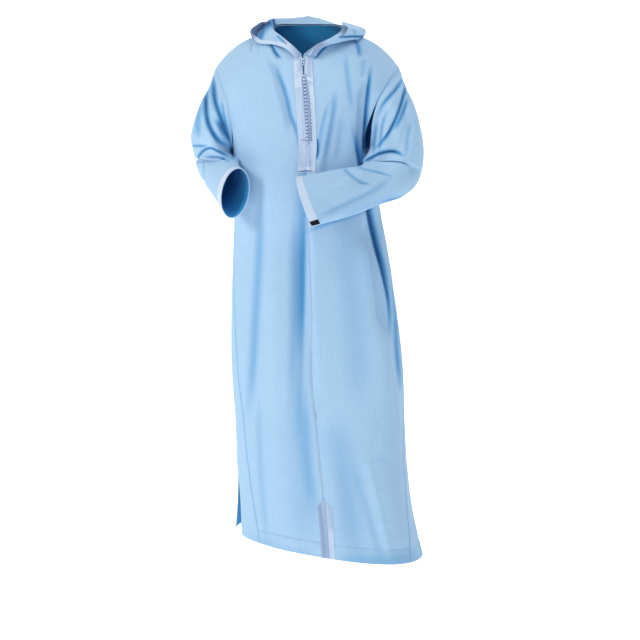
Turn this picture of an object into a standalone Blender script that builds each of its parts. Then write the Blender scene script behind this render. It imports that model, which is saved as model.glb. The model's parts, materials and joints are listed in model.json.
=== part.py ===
"""Hooded thobe in its worn, hollow form. Units are metres, +Z is up, the front faces -Y.

The origin is at the middle of the neck at the height where the garment hangs on the
shoulders. +X is the wearer's left. Every cloth piece is a thin wall laid through
sections that are worked out from the tables below.
"""
import math

import bmesh
import bpy
import numpy as np
from mathutils import Vector

# Driving sizes
WALL = 0.0020
SEAM_GAP = 0.0004
MM = 0.001
TRIM_GAP = 0.0003
TRIM_THICK = 0.0012
HEM_Z = -1.430
CHEST_Z = -0.330
BRAID_WIDTH = 0.025
BRAID_END_Z = -0.392
SLIT_TOP_Z = -1.270
SLIT_FACING_WIDTH = 0.020
SIDE_SLIT_TOP_Z = -1.215
KNOT_COUNT = 20
KNOT_RADIUS = 0.0035
KNOT_TOP_Z = -0.138
KNOT_END_Z = -0.312
CORD_RADIUS = 0.0013
CUFF_WIDTH = 0.025
TAG_COLUMNS = np.array([1.2, 2.0, 2.55])
TAG_THICK = 0.0010
SIDE_SLIT_OPEN = 0.010
END_BAND_RISE = 0.006
END_BAND_HEIGHT = 0.008
BAR_TACK_Z = -1.045
NECK_BUTTON_Z = -0.100
NECK_BUTTON_RADIUS = 0.0042
NECK_BUTTON_SINK = 0.0008
CORD_SEAT = 0.0008
HOOD_SEAT = 0.0032
HOOD_BRAID_LIFT = 0.0008
END_BAND_LIFT = 0.0004
END_BAND_BULGE = 0.0008
FACING_LIFT = 0.0002
FACING_SHOULDER = 0.45
POINT_WIDTH = 0.06
SLEEVE_CLEAR = 0.007
ARMHOLE_GAP = 0.0016
HEM_TILT = 0.020
HEM_TILT_TURN = 5.0
HEM_TILT_TOP = -0.950
UNDERARM_STEP = 0.0050

# Mesh steps
FRONT_COLUMNS = 10
GORE_COLUMNS = 3
BACK_COLUMNS = 11
SKIRT_ROWS = 23
YOKE_ROWS = 10
SLEEVE_SIDES = 24
SLEEVE_ROWS = 17
HOOD_ROWS = 38
HOOD_COLUMNS = 14
HEIGHT_STEP = (CHEST_Z - HEM_Z) / SKIRT_ROWS
SKIRT_NET_ROWS = 14
YOKE_NET_ROWS = 8
NET_COLUMNS = 8


def table(names, rows):
    """Turn rows of numbers into one array for each named column."""
    data = np.array(rows, dtype=float)
    return dict(zip(names.split(), data.T))


# Sections of the body from hem to chest. centre_x and centre_y place the section, turn
# is its yaw in degrees, left, right, front and back are its reaches. The last five
# columns are the angles in degrees of the seams, from 0 at the front to 90 at +X.
BODY = table(
    "height centre_x centre_y turn left right front back"
    " seam_front gore_left side_left gore_right side_right",
    [
        (-1.430, 0.053, -0.018, 24, 0.284, 0.272, 0.156, 0.160, 15, 66, 97, -32, -82),
        (-1.320, 0.044, -0.014, 21, 0.252, 0.252, 0.153, 0.156, 15, 74, 99, -39, -86),
        (-1.200, 0.037, -0.010, 16, 0.241, 0.242, 0.150, 0.152, 11, 80, 99, -47, -90),
        (-1.090, 0.032, -0.006, 10, 0.237, 0.237, 0.148, 0.148, 6, 84, 99, -54, -93),
        (-0.950, 0.026, -0.003, 4, 0.238, 0.238, 0.146, 0.144, 1, 86, 99, -62, -96),
        (-0.750, 0.015, 0.000, 0, 0.226, 0.226, 0.144, 0.138, 0, 86, 99, -72, -98),
        (-0.560, 0.002, 0.000, 0, 0.206, 0.205, 0.142, 0.132, 0, 84, 98, -80, -98),
        (-0.440, -0.004, 0.000, 0, 0.192, 0.195, 0.140, 0.130, 0, 82, 98, -82, -98),
        (-0.330, -0.008, 0.000, 0, 0.178, 0.198, 0.137, 0.128, 1.9, 78, 98, -76, -98),
    ],
)
BODY_ROUNDNESS = 2.25

# Armhole edge from the front of the underarm over the shoulder to the back of it.
# The first and last rows come from the chest section.
ARMHOLE = table(
    "left_x right_x y z",
    [
        (0.171, -0.205, -0.090, -0.268),
        (0.188, -0.216, -0.098, -0.205),
        (0.219, -0.236, -0.062, -0.152),
        (0.250, -0.252, 0.000, -0.119),
        (0.234, -0.236, 0.066, -0.150),
        (0.210, -0.212, 0.100, -0.212),
        (0.192, -0.198, 0.090, -0.280),
    ],
)
ARMHOLE_TOP = 3

# Neck edge, from the bottom of the V over the shoulder to the nape
NECK = table(
    "left_x right_x y z",
    [
        (-0.010, -0.015, -0.130, -0.086),
        (0.020, -0.038, -0.121, -0.064),
        (0.058, -0.064, -0.094, -0.044),
        (0.086, -0.087, -0.048, -0.024),
        (0.093, -0.093, 0.000, -0.008),
        (0.076, -0.076, 0.048, 0.001),
        (0.040, -0.040, 0.077, 0.003),
        (0.000, 0.000, 0.086, 0.003),
    ],
)
NECK_SHOULDER = 4

# Front edge above the chest, up to the bottom of the V
PLACKET = table(
    "x half_opening y z",
    [
        (0.0000, 0.0000, -0.137, -0.330),
        (-0.0010, 0.0001, -0.137, -0.270),
        (-0.0040, 0.0003, -0.136, -0.210),
        (-0.0080, 0.0007, -0.133, -0.160),
        (-0.0110, 0.0018, -0.131, -0.115),
        (-0.0125, 0.0025, -0.130, -0.086),
    ],
)

# Shoulder ridge between the neck edge and the armhole, as shares of the way
SHOULDER = table("share rise", [(0.0, 0.0), (0.3, 0.012), (0.6, 0.021), (0.85, 0.014), (1.0, 0.0)])

# Centre of the back above the chest
SPINE = table(
    "x y z",
    [(-0.008, 0.128, -0.330), (-0.004, 0.130, -0.240), (0.0, 0.122, -0.130), (0.0, 0.104, -0.050)],
)

# Sleeve sections. The inner point is on the crook side, the outer on the elbow side,
# front and back are the reaches at right angles to both, and lead is how far the front
# runs ahead of the middle towards the cuff.
SLEEVE_NAMES = "inner_x inner_y inner_z outer_x outer_y outer_z front back lead"
SLEEVE_LEFT = table(
    SLEEVE_NAMES,
    [
        (0.172, -0.062, -0.347, 0.278, -0.006, -0.205, 0.092, 0.082, 0),
        (0.160, -0.098, -0.356, 0.294, -0.008, -0.286, 0.088, 0.070, 0),
        (0.154, -0.122, -0.363, 0.300, -0.012, -0.356, 0.078, 0.052, 0),
        (0.148, -0.136, -0.370, 0.288, -0.034, -0.424, 0.068, 0.034, 0),
        (0.132, -0.150, -0.375, 0.254, -0.080, -0.459, 0.058, 0.028, 0),
        (0.096, -0.170, -0.379, 0.192, -0.128, -0.477, 0.050, 0.028, 0.004),
        (0.040, -0.200, -0.388, 0.112, -0.170, -0.505, 0.041, 0.030, 0.011),
        (-0.028, -0.232, -0.400, 0.014, -0.210, -0.527, 0.031, 0.031, 0.020),
    ],
)
SLEEVE_RIGHT = table(
    SLEEVE_NAMES,
    [
        (-0.216, -0.024, -0.345, -0.278, 0.014, -0.200, 0.084, 0.070, 0),
        (-0.203, -0.072, -0.351, -0.296, 0.044, -0.288, 0.070, 0.062, 0),
        (-0.198, -0.092, -0.357, -0.294, 0.056, -0.346, 0.058, 0.052, 0),
        (-0.197, -0.108, -0.360, -0.282, 0.034, -0.402, 0.052, 0.040, 0),
        (-0.194, -0.124, -0.366, -0.260, -0.014, -0.438, 0.048, 0.036, 0),
        (-0.192, -0.140, -0.371, -0.230, -0.088, -0.473, 0.043, 0.036, 0),
        (-0.178, -0.168, -0.380, -0.203, -0.164, -0.509, 0.038, 0.038, 0),
    ],
)

# Hood sections, from the wearer's right of the V round the back to the left of it. The
# neck share places the section's seam on the neck edge, and each section runs from
# there through an upper bend, a low point and a fold to the free edge, in mm.
HOOD = table(
    "neck bend_x bend_y bend_z low_x low_y low_z"
    " fold_x fold_y fold_z edge_x edge_y edge_z",
    [
        (0.000, -18, -133.5, -85, -22, -136, -87, -26, -137, -89.5, -30, -137, -92),
        (0.058, -44, -124, -60, -48, -129, -63, -52, -132, -66, -56, -134, -69),
        (0.125, -70, -94, -34, -76, -103, -39, -76, -114, -50, -77, -124, -60),
        (0.180, -86, -62, -21, -90, -70, -23, -90, -86, -42, -94, -103, -56),
        (0.240, -99, -26, -6, -106, -36, -14, -121, -56, -36, -136, -68, -50),
        (0.300, -106, 8, 12, -122, -2, -12, -142, -12, -24, -155, -16, -18),
        (0.370, -88, 60, 20, -112, 64, -14, -134, 54, -20, -140, 40, 2),
        (0.430, -56, 92, 17, -78, 128, -90, -104, 142, -80, -121, 108, 14),
        (0.470, -28, 106, 12, -38, 148, -195, -56, 174, -185, -68, 156, 8),
        (0.500, 0, 110, 11, 0, 152, -265, 0, 184, -255, 0, 172, 3),
        (0.530, 28, 106, 11, 40, 148, -190, 56, 172, -180, 62, 156, 6),
        (0.570, 64, 92, 8, 90, 126, -70, 112, 138, -60, 98, 112, 6),
        (0.630, 100, 64, -5, 138, 78, -38, 148, 74, -18, 100, 60, 9),
        (0.700, 117, 8, -9, 148, 6, -28, 153, 4, -10, 96, 4, 8),
        (0.780, 108, -48, -24, 136, -52, -39, 145, -44, -17, 91, -46, 0),
        (0.820, 92, -76, -30, 111, -86, -44, 122, -91, -30, 107, -102, -12),
        (0.870, 69, -102, -40, 78, -112, -50, 86, -122, -50, 88, -132, -43),
        (0.940, 25, -126, -58, 30, -134, -59, 34, -138, -63, 38, -140, -67),
        (1.000, -3, -136, -84, 5, -140, -85, 14, -142, -87, 22, -142, -89),
    ],
)

# Largest folds of the body. face is 1 on the front and -1 on the back, depth is
# positive for a ridge, the two widths lie on the -X and +X sides of the line, and the
# line runs through three points given as x and height.
BODY_FOLDS = table(
    "face depth width_a width_b x1 z1 x2 z2 x3 z3",
    [
        (1, -0.030, 0.030, 0.018, 0.172, -0.480, 0.196, -0.640, 0.222, -0.860),
        (1, 0.010, 0.030, 0.016, 0.150, -0.520, 0.176, -0.680, 0.226, -1.080),
        (1, -0.016, 0.040, 0.012, -0.002, -0.500, 0.002, -0.760, 0.010, -1.020),
        (1, 0.006, 0.010, 0.040, 0.012, -0.480, 0.018, -0.760, 0.024, -1.000),
        (1, -0.022, 0.016, 0.020, 0.158, -0.150, 0.154, -0.260, 0.150, -0.380),
        (1, -0.010, 0.012, 0.022, -0.104, -0.062, -0.070, -0.160, -0.038, -0.300),
        (1, 0.006, 0.016, 0.012, 0.072, -0.220, 0.044, -0.330, 0.024, -0.420),
        (1, 0.010, 0.050, 0.050, 0.190, -1.200, 0.222, -1.320, 0.240, -1.430),
        (1, -0.008, 0.040, 0.040, 0.110, -1.150, 0.130, -1.300, 0.140, -1.430),
        (1, -0.007, 0.036, 0.030, -0.120, -0.700, -0.130, -0.950, -0.128, -1.150),
        (-1, -0.014, 0.040, 0.040, -0.120, -0.420, -0.130, -0.800, -0.120, -1.300),
        (-1, -0.016, 0.044, 0.040, 0.020, -0.480, 0.030, -0.900, 0.050, -1.380),
        (-1, -0.013, 0.040, 0.036, 0.130, -0.420, 0.160, -0.820, 0.190, -1.300),
        (-1, 0.010, 0.040, 0.040, -0.060, -0.500, -0.060, -0.900, -0.050, -1.430),
        (-1, 0.010, 0.040, 0.040, 0.090, -0.500, 0.100, -0.900, 0.130, -1.430),
    ],
)

# Largest folds of the sleeves, as a share of the way from armhole to cuff and an angle
# in degrees, from 0 on the elbow side to 90 on the front.
SLEEVE_FOLDS_NAMES = "depth width length t1 a1 t2 a2"
LEFT_SLEEVE_FOLDS = table(
    SLEEVE_FOLDS_NAMES,
    [
        (-0.012, 0.030, 0.10, 0.12, 60, 0.40, 128),
        (-0.012, 0.026, 0.10, 0.10, 96, 0.42, 150),
        (-0.014, 0.022, 0.10, 0.42, 176, 0.46, 70),
        (-0.010, 0.028, 0.10, 0.56, 130, 0.90, 66),
        (-0.008, 0.030, 0.10, 0.20, -60, 0.50, -120),
    ],
)
RIGHT_SLEEVE_FOLDS = table(
    SLEEVE_FOLDS_NAMES,
    [
        (-0.014, 0.026, 0.10, 0.06, 44, 0.46, 110),
        (-0.014, 0.026, 0.10, 0.06, 78, 0.42, 132),
        (-0.012, 0.022, 0.10, 0.46, 20, 0.55, 130),
        (-0.010, 0.028, 0.10, 0.20, -50, 0.46, -120),
    ],
)


# Curves and surfaces

def smooth(xs, ys, at):
    """Cubic curve through a table's rows, read at the given places."""
    order = np.argsort(xs)
    xs = xs[order]
    ys = ys[order]
    slopes = np.gradient(ys, xs)
    at = np.asarray(at, dtype=float)
    i = np.clip(np.searchsorted(xs, at) - 1, 0, len(xs) - 2)
    h = xs[i + 1] - xs[i]
    t = (at - xs[i]) / h
    ease = t * t * (3 - 2 * t)
    start = (t - 2 * t * t + t ** 3) * h * slopes[i]
    end = (t ** 3 - t * t) * h * slopes[i + 1]
    return ys[i] * (1 - ease) + ys[i + 1] * ease + start + end


def path(points, at):
    """Smooth path through points, read at shares of its length."""
    points = np.asarray(points, dtype=float)
    steps = np.linalg.norm(np.diff(points, axis=0), axis=1)
    along = np.concatenate([[0.0], np.cumsum(steps)])
    along /= along[-1]
    return np.stack([smooth(along, points[:, k], at) for k in range(3)], axis=-1)


def spread(net, rows, columns):
    """Read a net of points as a smooth sheet at row and column places from 0 to 1."""
    count_r, count_c = net.shape[:2]
    places_r = np.linspace(0, 1, count_r)
    places_c = np.linspace(0, 1, count_c)
    down = np.empty((len(rows), count_c, 3))
    for c in range(count_c):
        for k in range(3):
            down[:, c, k] = smooth(places_r, net[:, c, k], rows)
    sheet = np.empty((len(rows), len(columns), 3))
    for r in range(len(rows)):
        for k in range(3):
            sheet[r, :, k] = smooth(places_c, down[r, :, k], columns)
    return sheet


def ring(z, degrees):
    """Point of the body's section at a height and an angle from the front."""
    row = {name: smooth(BODY["height"], BODY[name], z) for name in BODY}
    turn = np.radians(row["turn"])
    angle = np.radians(degrees)
    power = 2.0 / BODY_ROUNDNESS
    across = np.sign(np.sin(angle)) * np.abs(np.sin(angle)) ** power
    ahead = np.sign(np.cos(angle)) * np.abs(np.cos(angle)) ** power
    across = across * np.where(across > 0, row["left"], row["right"])
    ahead = ahead * np.where(ahead > 0, row["front"], row["back"])
    x = row["centre_x"] + across * np.cos(turn) - ahead * np.sin(turn)
    y = row["centre_y"] - across * np.sin(turn) - ahead * np.cos(turn)
    dip = np.clip((HEM_TILT_TOP - z) / (HEM_TILT_TOP - HEM_Z), 0, 1) ** 2
    height = z - HEM_TILT * dip * np.sin(angle - np.radians(HEM_TILT_TURN))
    return np.stack([x, y, np.broadcast_to(height, np.shape(x))], axis=-1)


def seam_angle(name, z):
    if name == "back":
        return np.full(np.shape(z), 180.0)
    return smooth(BODY["height"], BODY[name], z)


def armhole(side):
    """Closed armhole edge, from the front of the underarm over the shoulder."""
    x = ARMHOLE[side + "_x"]
    under_front = ring(CHEST_Z, seam_angle("gore_" + side, CHEST_Z))
    under_back = ring(CHEST_Z, seam_angle("side_" + side, CHEST_Z))
    middle = np.stack([x, ARMHOLE["y"], ARMHOLE["z"]], axis=-1)
    return np.vstack([under_front[None], middle, under_back[None]])


def neck_edge(side):
    return np.stack([NECK[side + "_x"], NECK["y"], NECK["z"]], axis=-1)


def shoulder_line(side, at):
    """Ridge of the shoulder from the neck edge to the top of the armhole."""
    start = neck_edge(side)[NECK_SHOULDER]
    end = armhole(side)[ARMHOLE_TOP + 1]
    line = start + (end - start) * at[:, None]
    line[:, 2] += smooth(SHOULDER["share"], SHOULDER["rise"], at)
    return line


def inner_edge(side, half, at):
    """Centre front and neck edge, or centre back and neck edge, from the chest up."""
    neck = neck_edge(side)
    if half == "front":
        sign = 1 if side == "left" else -1
        x = PLACKET["x"] + sign * PLACKET["half_opening"]
        lower = np.stack([x, PLACKET["y"], PLACKET["z"]], axis=-1)
        upper = neck[:NECK_SHOULDER + 1]
        split = 0.5
    else:
        lower = np.stack([SPINE["x"], SPINE["y"], SPINE["z"]], axis=-1)
        lower = np.vstack([lower, neck[-1:]])
        upper = neck[:NECK_SHOULDER - 1:-1]
        split = 0.7
    lower = np.vstack([ring(CHEST_Z, chest_start(side, half))[None], lower[1:]])
    low = path(lower, np.clip(at / split, 0, 1))
    high = path(upper, np.clip((at - split) / (1 - split), 0, 1))
    return np.where((at <= split)[:, None], low, high)


def chest_start(side, half):
    if half == "front":
        return seam_angle("seam_front", CHEST_Z)
    return 180.0 if side == "left" else -180.0


def chest_end(side, half):
    name = "gore_" if half == "front" else "side_"
    return seam_angle(name + side, CHEST_Z)


def outer_edge(side, half, at):
    edge = armhole(side)
    if half == "front":
        return path(edge[:ARMHOLE_TOP + 2], at)
    return path(edge[:ARMHOLE_TOP:-1], at)


def yoke_net(side, half):
    """Net over the chest and shoulder, blended between its four edges."""
    v = np.linspace(0, 1, YOKE_NET_ROWS)
    u = np.linspace(0, 1, NET_COLUMNS)
    angles = chest_start(side, half) + (chest_end(side, half) - chest_start(side, half)) * u
    bottom = ring(CHEST_Z, angles)
    top = shoulder_line(side, u)
    inner = inner_edge(side, half, v)
    outer = outer_edge(side, half, v)
    vv = v[:, None, None]
    uu = u[None, :, None]
    net = (1 - vv) * bottom[None] + vv * top[None] + (1 - uu) * inner[:, None] + uu * outer[:, None]
    net -= (1 - uu) * (1 - vv) * bottom[0] + uu * (1 - vv) * bottom[-1]
    net -= (1 - uu) * vv * top[0] + uu * vv * top[-1]
    return net


def skirt_net(start, end, side):
    """Net below the chest between two seams."""
    heights = np.linspace(HEM_Z, CHEST_Z, SKIRT_NET_ROWS)
    u = np.linspace(0, 1, NET_COLUMNS)
    first = seam_angle(start, heights)
    last = seam_angle(end, heights)
    if start == "back" and side == "right":
        first = -first
    angles = first[:, None] + (last - first)[:, None] * u
    return ring(heights[:, None] + 0 * angles, angles)


def body_net(side, half):
    """One net from hem to shoulder, eased where the chest meets the yoke."""
    start = "seam_front" if half == "front" else "back"
    end = ("gore_" if half == "front" else "side_") + side
    net = np.concatenate([skirt_net(start, end, side), yoke_net(side, half)[1:]])
    joint = SKIRT_NET_ROWS - 1
    for _ in range(4):
        middle = (net[joint - 2:joint + 3, 1:-1] + 0.5 * net[joint - 3:joint + 2, 1:-1]
                  + 0.5 * net[joint - 1:joint + 4, 1:-1]) / 2
        net[joint - 2:joint + 3, 1:-1] = middle
    return net


def body_rows():
    """Row places of the front and back panels, with a row at each trim's end."""
    share = (SKIRT_NET_ROWS - 1) / (SKIRT_NET_ROWS + YOKE_NET_ROWS - 2)
    heights = np.linspace(HEM_Z, CHEST_Z, SKIRT_ROWS + 1)
    for mark in (SLIT_TOP_Z, BRAID_END_Z, SIDE_SLIT_TOP_Z):
        heights[np.argmin(np.abs(heights - mark))] = mark
    low = (heights - HEM_Z) / (CHEST_Z - HEM_Z) * share
    high = np.linspace(share, 1, YOKE_ROWS + 1)[1:]
    return np.concatenate([low, high])


# Folds

def line_fold(x, z, points, width_a, width_b, fade=0.22):
    """Strength from 0 to 1 of a fold along three points, soft at both ends."""
    curve = path([(px, 0.0, pz) for px, pz in points], np.linspace(0, 1, 13))[:, [0, 2]]
    best = np.full(x.shape, 1e9)
    strength = np.zeros(x.shape)
    for i in range(len(curve) - 1):
        start = curve[i]
        run = curve[i + 1] - start
        t = np.clip(((x - start[0]) * run[0] + (z - start[1]) * run[1]) / (run @ run), 0, 1)
        dx = x - start[0] - t * run[0]
        dz = z - start[1] - t * run[1]
        gap = np.hypot(dx, dz)
        width = np.where(dx < 0, width_a, width_b)
        along = (i + t) / (len(curve) - 1)
        ends = np.clip(np.minimum(along, 1 - along) / fade, 0, 1)
        value = np.exp(-(gap / width) ** 2) * ends * ends * (3 - 2 * ends)
        nearer = gap < best
        strength = np.where(nearer, value, strength)
        best = np.where(nearer, gap, best)
    return strength


def fold_body(sheet):
    """Push a body sheet in or out, square to the body's own axis."""
    centre_x = smooth(BODY["height"], BODY["centre_x"], np.maximum(sheet[..., 2], HEM_Z))
    out = np.stack([sheet[..., 0] - centre_x, sheet[..., 1] + 0.02, 0 * centre_x], axis=-1)
    out /= np.maximum(np.linalg.norm(out, axis=-1, keepdims=True), 1e-6)
    push = np.zeros(sheet.shape[:2])
    for row in zip(*BODY_FOLDS.values()):
        face, depth, width_a, width_b = row[:4]
        points = np.array(row[4:]).reshape(3, 2)
        facing = np.clip(-face * out[..., 1] * 3.0 + 0.4, 0, 1)
        push += depth * facing * line_fold(sheet[..., 0], sheet[..., 2], points, width_a, width_b)
    return sheet + out * push[..., None]


def sleeve_rings(side):
    """Rings of a sleeve, the armhole first, each read at the same angles."""
    rows = SLEEVE_LEFT if side == "left" else SLEEVE_RIGHT
    inner = np.stack([rows["inner_x"], rows["inner_y"], rows["inner_z"]], axis=-1)
    outer = np.stack([rows["outer_x"], rows["outer_y"], rows["outer_z"]], axis=-1)
    middle = (inner + outer) / 2
    angles = np.radians(np.arange(SLEEVE_SIDES) * 360.0 / SLEEVE_SIDES)
    edge = armhole(side)
    closed = np.vstack([edge[ARMHOLE_TOP + 1:0:-1], edge[:1], edge[:ARMHOLE_TOP:-1]])
    rings = [path(closed, np.arange(SLEEVE_SIDES) / SLEEVE_SIDES)]
    travel = np.gradient(middle, axis=0)
    for k in range(len(middle)):
        across = outer[k] - middle[k]
        ahead = np.cross(travel[k], across)
        ahead *= math.copysign(1 / np.linalg.norm(ahead), -ahead[1])
        reach = np.sin(angles) * np.where(np.sin(angles) > 0, rows["front"][k], rows["back"][k])
        lead = np.sin(angles) * rows["lead"][k] / np.linalg.norm(travel[k])
        flat = middle[k] + np.cos(angles)[:, None] * across + reach[:, None] * ahead
        rings.append(flat + lead[:, None] * travel[k])
    return np.array(rings)


def clear_of_body(sheet):
    """Push the points of a sleeve out of the body where the two come near."""
    low = np.minimum(sheet[..., 2], CHEST_Z)
    centre = np.stack([smooth(BODY["height"], BODY[k], low) for k in ("centre_x", "centre_y")], axis=-1)
    away = sheet[..., :2] - centre
    reach = np.linalg.norm(away, axis=-1)
    turns = np.linspace(-180.0, 180.0, 181)
    edge = ring(low.reshape(-1, 1) + 0 * turns, turns + 0 * low.reshape(-1, 1))[..., :2]
    edge -= centre.reshape(-1, 1, 2)
    bearing = np.arctan2(edge[..., 0], -edge[..., 1])
    aim = np.arctan2(away[..., 0], -away[..., 1]).reshape(-1)
    radius = [np.interp(a, b, np.linalg.norm(e, axis=-1), period=2 * math.pi)
              for a, b, e in zip(aim, bearing, edge)]
    need = np.array(radius).reshape(reach.shape) + SLEEVE_CLEAR
    ease = np.clip((CHEST_Z + 0.06 - sheet[..., 2]) / 0.06, 0, 1)
    grow = 1 + np.maximum(need - reach, 0) / reach * ease
    moved = sheet.copy()
    moved[..., :2] = centre + away * grow[..., None]
    return moved


def sleeve_sheet(side, places):
    """Sleeve read at shares of its length, with its folds."""
    rings = sleeve_rings(side)
    knots = np.linspace(0, 1, len(rings))
    sheet = np.empty((len(places), SLEEVE_SIDES, 3))
    for a in range(SLEEVE_SIDES):
        for k in range(3):
            sheet[:, a, k] = smooth(knots, rings[:, a, k], places)
    middle = sheet.mean(axis=1, keepdims=True)
    reach = np.linalg.norm(sheet - middle, axis=-1)
    folds = LEFT_SLEEVE_FOLDS if side == "left" else RIGHT_SLEEVE_FOLDS
    angle = np.arange(SLEEVE_SIDES)[None, :] * 360.0 / SLEEVE_SIDES
    push = np.zeros(reach.shape)
    for depth, width, length, t1, a1, t2, a2 in zip(*folds.values()):
        share = np.clip((places[:, None] - t1) / (t2 - t1), 0, 1)
        aim = a1 + (a2 - a1) * share
        turn = (angle - aim + 180.0) % 360.0 - 180.0
        gap = np.radians(turn) * reach
        past = np.maximum(0, np.maximum(t1 - places, places - t2))[:, None]
        push += depth * np.exp(-(gap / width) ** 2 - (past / length) ** 2)
    start = np.clip(places / 0.12, 0, 1)[:, None]
    end = np.clip((1 - places) / 0.10, 0, 1)[:, None]
    sheet = sheet + (sheet - middle) / reach[..., None] * (push * start * end)[..., None]
    sheet[1:] = clear_of_body(sheet)[1:]
    return sheet


# Meshes

def clear_scene():
    for thing in list(bpy.data.objects):
        bpy.data.objects.remove(thing, do_unlink=True)


def finish(name, hex_colour, roughness, metallic=0.0):
    """Principled material with an sRGB colour."""
    found = bpy.data.materials.get(name)
    if found:
        return found
    made = bpy.data.materials.new(name)
    made.use_nodes = True
    shader = made.node_tree.nodes["Principled BSDF"]
    parts = [int(hex_colour[i:i + 2], 16) / 255 for i in (0, 2, 4)]
    linear = [p / 12.92 if p <= 0.04045 else ((p + 0.055) / 1.055) ** 2.4 for p in parts]
    shader.inputs["Base Color"].default_value = (*linear, 1)
    shader.inputs["Roughness"].default_value = roughness
    shader.inputs["Metallic"].default_value = metallic
    return made


def blue_cloth():
    return finish("blue_slub_cloth", "A7CBEC", 0.8)


def silver_braid():
    return finish("silver_braid", "C4D0EA", 0.45)


def grey_facing():
    return finish("grey_facing", "9FB7D4", 0.6)


def black_tag():
    return finish("black_ribbon", "141418", 0.7)


def normals_of(sheet, closed=False):
    """Unit normals of a grid of points, from its row and column directions."""
    if closed:
        across = np.roll(sheet, -1, axis=1) - np.roll(sheet, 1, axis=1)
    else:
        across = np.gradient(sheet, axis=1)
    along = np.gradient(sheet, axis=0)
    out = np.cross(across, along)
    return out / np.maximum(np.linalg.norm(out, axis=-1, keepdims=True), 1e-9)


def grid_faces(rows, columns, closed=False):
    faces = []
    for r in range(rows - 1):
        for c in range(columns if closed else columns - 1):
            d = (c + 1) % columns
            faces.append((r * columns + c, r * columns + d, (r + 1) * columns + d, (r + 1) * columns + c))
    return faces


def thicken(name, points, normals, faces, material, thickness=WALL, lift=0.0):
    """Closed wall about a sheet of faces, with lift moving it along its normals."""
    outer = points + normals * (lift + thickness / 2)
    inner = points + normals * (lift - thickness / 2)
    count = len(points)
    solid = [tuple(face) for face in faces]
    solid += [tuple(count + i for i in reversed(face)) for face in faces]
    edges = {(face[i], face[(i + 1) % len(face)]) for face in faces for i in range(len(face))}
    solid += [(b, a, count + a, count + b) for a, b in sorted(edges) if (b, a) not in edges]
    mesh = bpy.data.meshes.new(name)
    mesh.from_pydata([tuple(p) for p in np.vstack([outer, inner])], [], solid)
    return add_object(name, mesh, material)


def wall(name, sheet, material, thickness=WALL, closed=False, lift=0.0, out=None):
    """Closed thin wall about a grid of points."""
    rows, columns = sheet.shape[:2]
    out = normals_of(sheet, closed) if out is None else out
    faces = grid_faces(rows, columns, closed)
    return thicken(name, sheet.reshape(-1, 3), out.reshape(-1, 3), faces, material, thickness, lift)


def add_object(name, mesh, material):
    shaped = bmesh.new()
    shaped.from_mesh(mesh)
    bmesh.ops.triangulate(shaped, faces=shaped.faces)
    bmesh.ops.recalc_face_normals(shaped, faces=shaped.faces)
    if shaped.calc_volume(signed=True) < 0:
        bmesh.ops.reverse_faces(shaped, faces=shaped.faces)
    shaped.to_mesh(mesh)
    shaped.free()
    mesh.shade_smooth()
    mesh.set_sharp_from_angle(angle=math.radians(50))
    mesh.materials.append(material)
    thing = bpy.data.objects.new(name, mesh)
    bpy.context.scene.collection.objects.link(thing)
    return thing


def draw_in(sheet, first=True, last=True, high=False, amount=SEAM_GAP / 2):
    """Draw a sheet's edges in from its neighbours' seams."""
    sheet = sheet.copy()

    def step(edge, inside):
        away = inside - edge
        return edge + away / np.linalg.norm(away, axis=-1, keepdims=True) * amount
    if first:
        sheet[:, 0] = step(sheet[:, 0], sheet[:, 1])
    if last:
        sheet[:, -1] = step(sheet[:, -1], sheet[:, -2])
    if high:
        sheet[-1] = step(sheet[-1], sheet[-2])
    return sheet


def front_columns(net):
    """Column places of a front panel, the first column one braid's width from the seam."""
    width = np.linalg.norm(np.diff(net[SKIRT_NET_ROWS // 2], axis=0), axis=1).sum()
    return np.concatenate([[0.0], np.linspace(BRAID_WIDTH / width, 1, FRONT_COLUMNS)])


def skirt_heights():
    """Heights of the rows from the hem to the chest."""
    places = body_rows()[:SKIRT_ROWS + 1]
    return HEM_Z + (CHEST_Z - HEM_Z) * places / places[-1]


def seam_edge(kind, side):
    """Exact points along a seam below the chest, the same for both its panels."""
    heights = skirt_heights()
    name = {"centre": "seam_front", "spine": "back"}.get(kind, kind + "_" + side)
    return ring(heights, seam_angle(name, heights))


def panel(side, half, columns):
    """A front or back panel from hem to shoulder, with its folds."""
    sheet = spread(body_net(side, half), body_rows(), columns)
    kinds = ("centre", "gore") if half == "front" else ("spine", "side")
    share = body_rows()[SKIRT_ROWS]
    at = (body_rows()[SKIRT_ROWS + 1:] - share) / (1 - share)
    first = np.vstack([seam_edge(kinds[0], side), inner_edge(side, half, at)])
    last = np.vstack([seam_edge(kinds[1], side), outer_edge(side, half, at)])
    ease = (1 - np.asarray(columns))[None, :, None] ** 2
    sheet += (first - sheet[:, 0])[:, None] * ease
    sheet += (last - sheet[:, -1])[:, None] * (1 - np.sqrt(ease)) ** 2
    return fold_body(sheet)


def front_sheet(side):
    sheet = panel(side, "front", front_columns(body_net(side, "front")))
    away = sheet[:, 2] - sheet[:, 0]
    sheet[:, 1] = sheet[:, 0] + away * (BRAID_WIDTH / np.linalg.norm(away, axis=-1))[:, None]
    return draw_in(sheet, high=True)


def back_sheet(side):
    columns = np.linspace(0, 1, BACK_COLUMNS + 1)
    sheet = panel(side, "back", columns)
    return draw_in(sheet, first=False, high=True)


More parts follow.
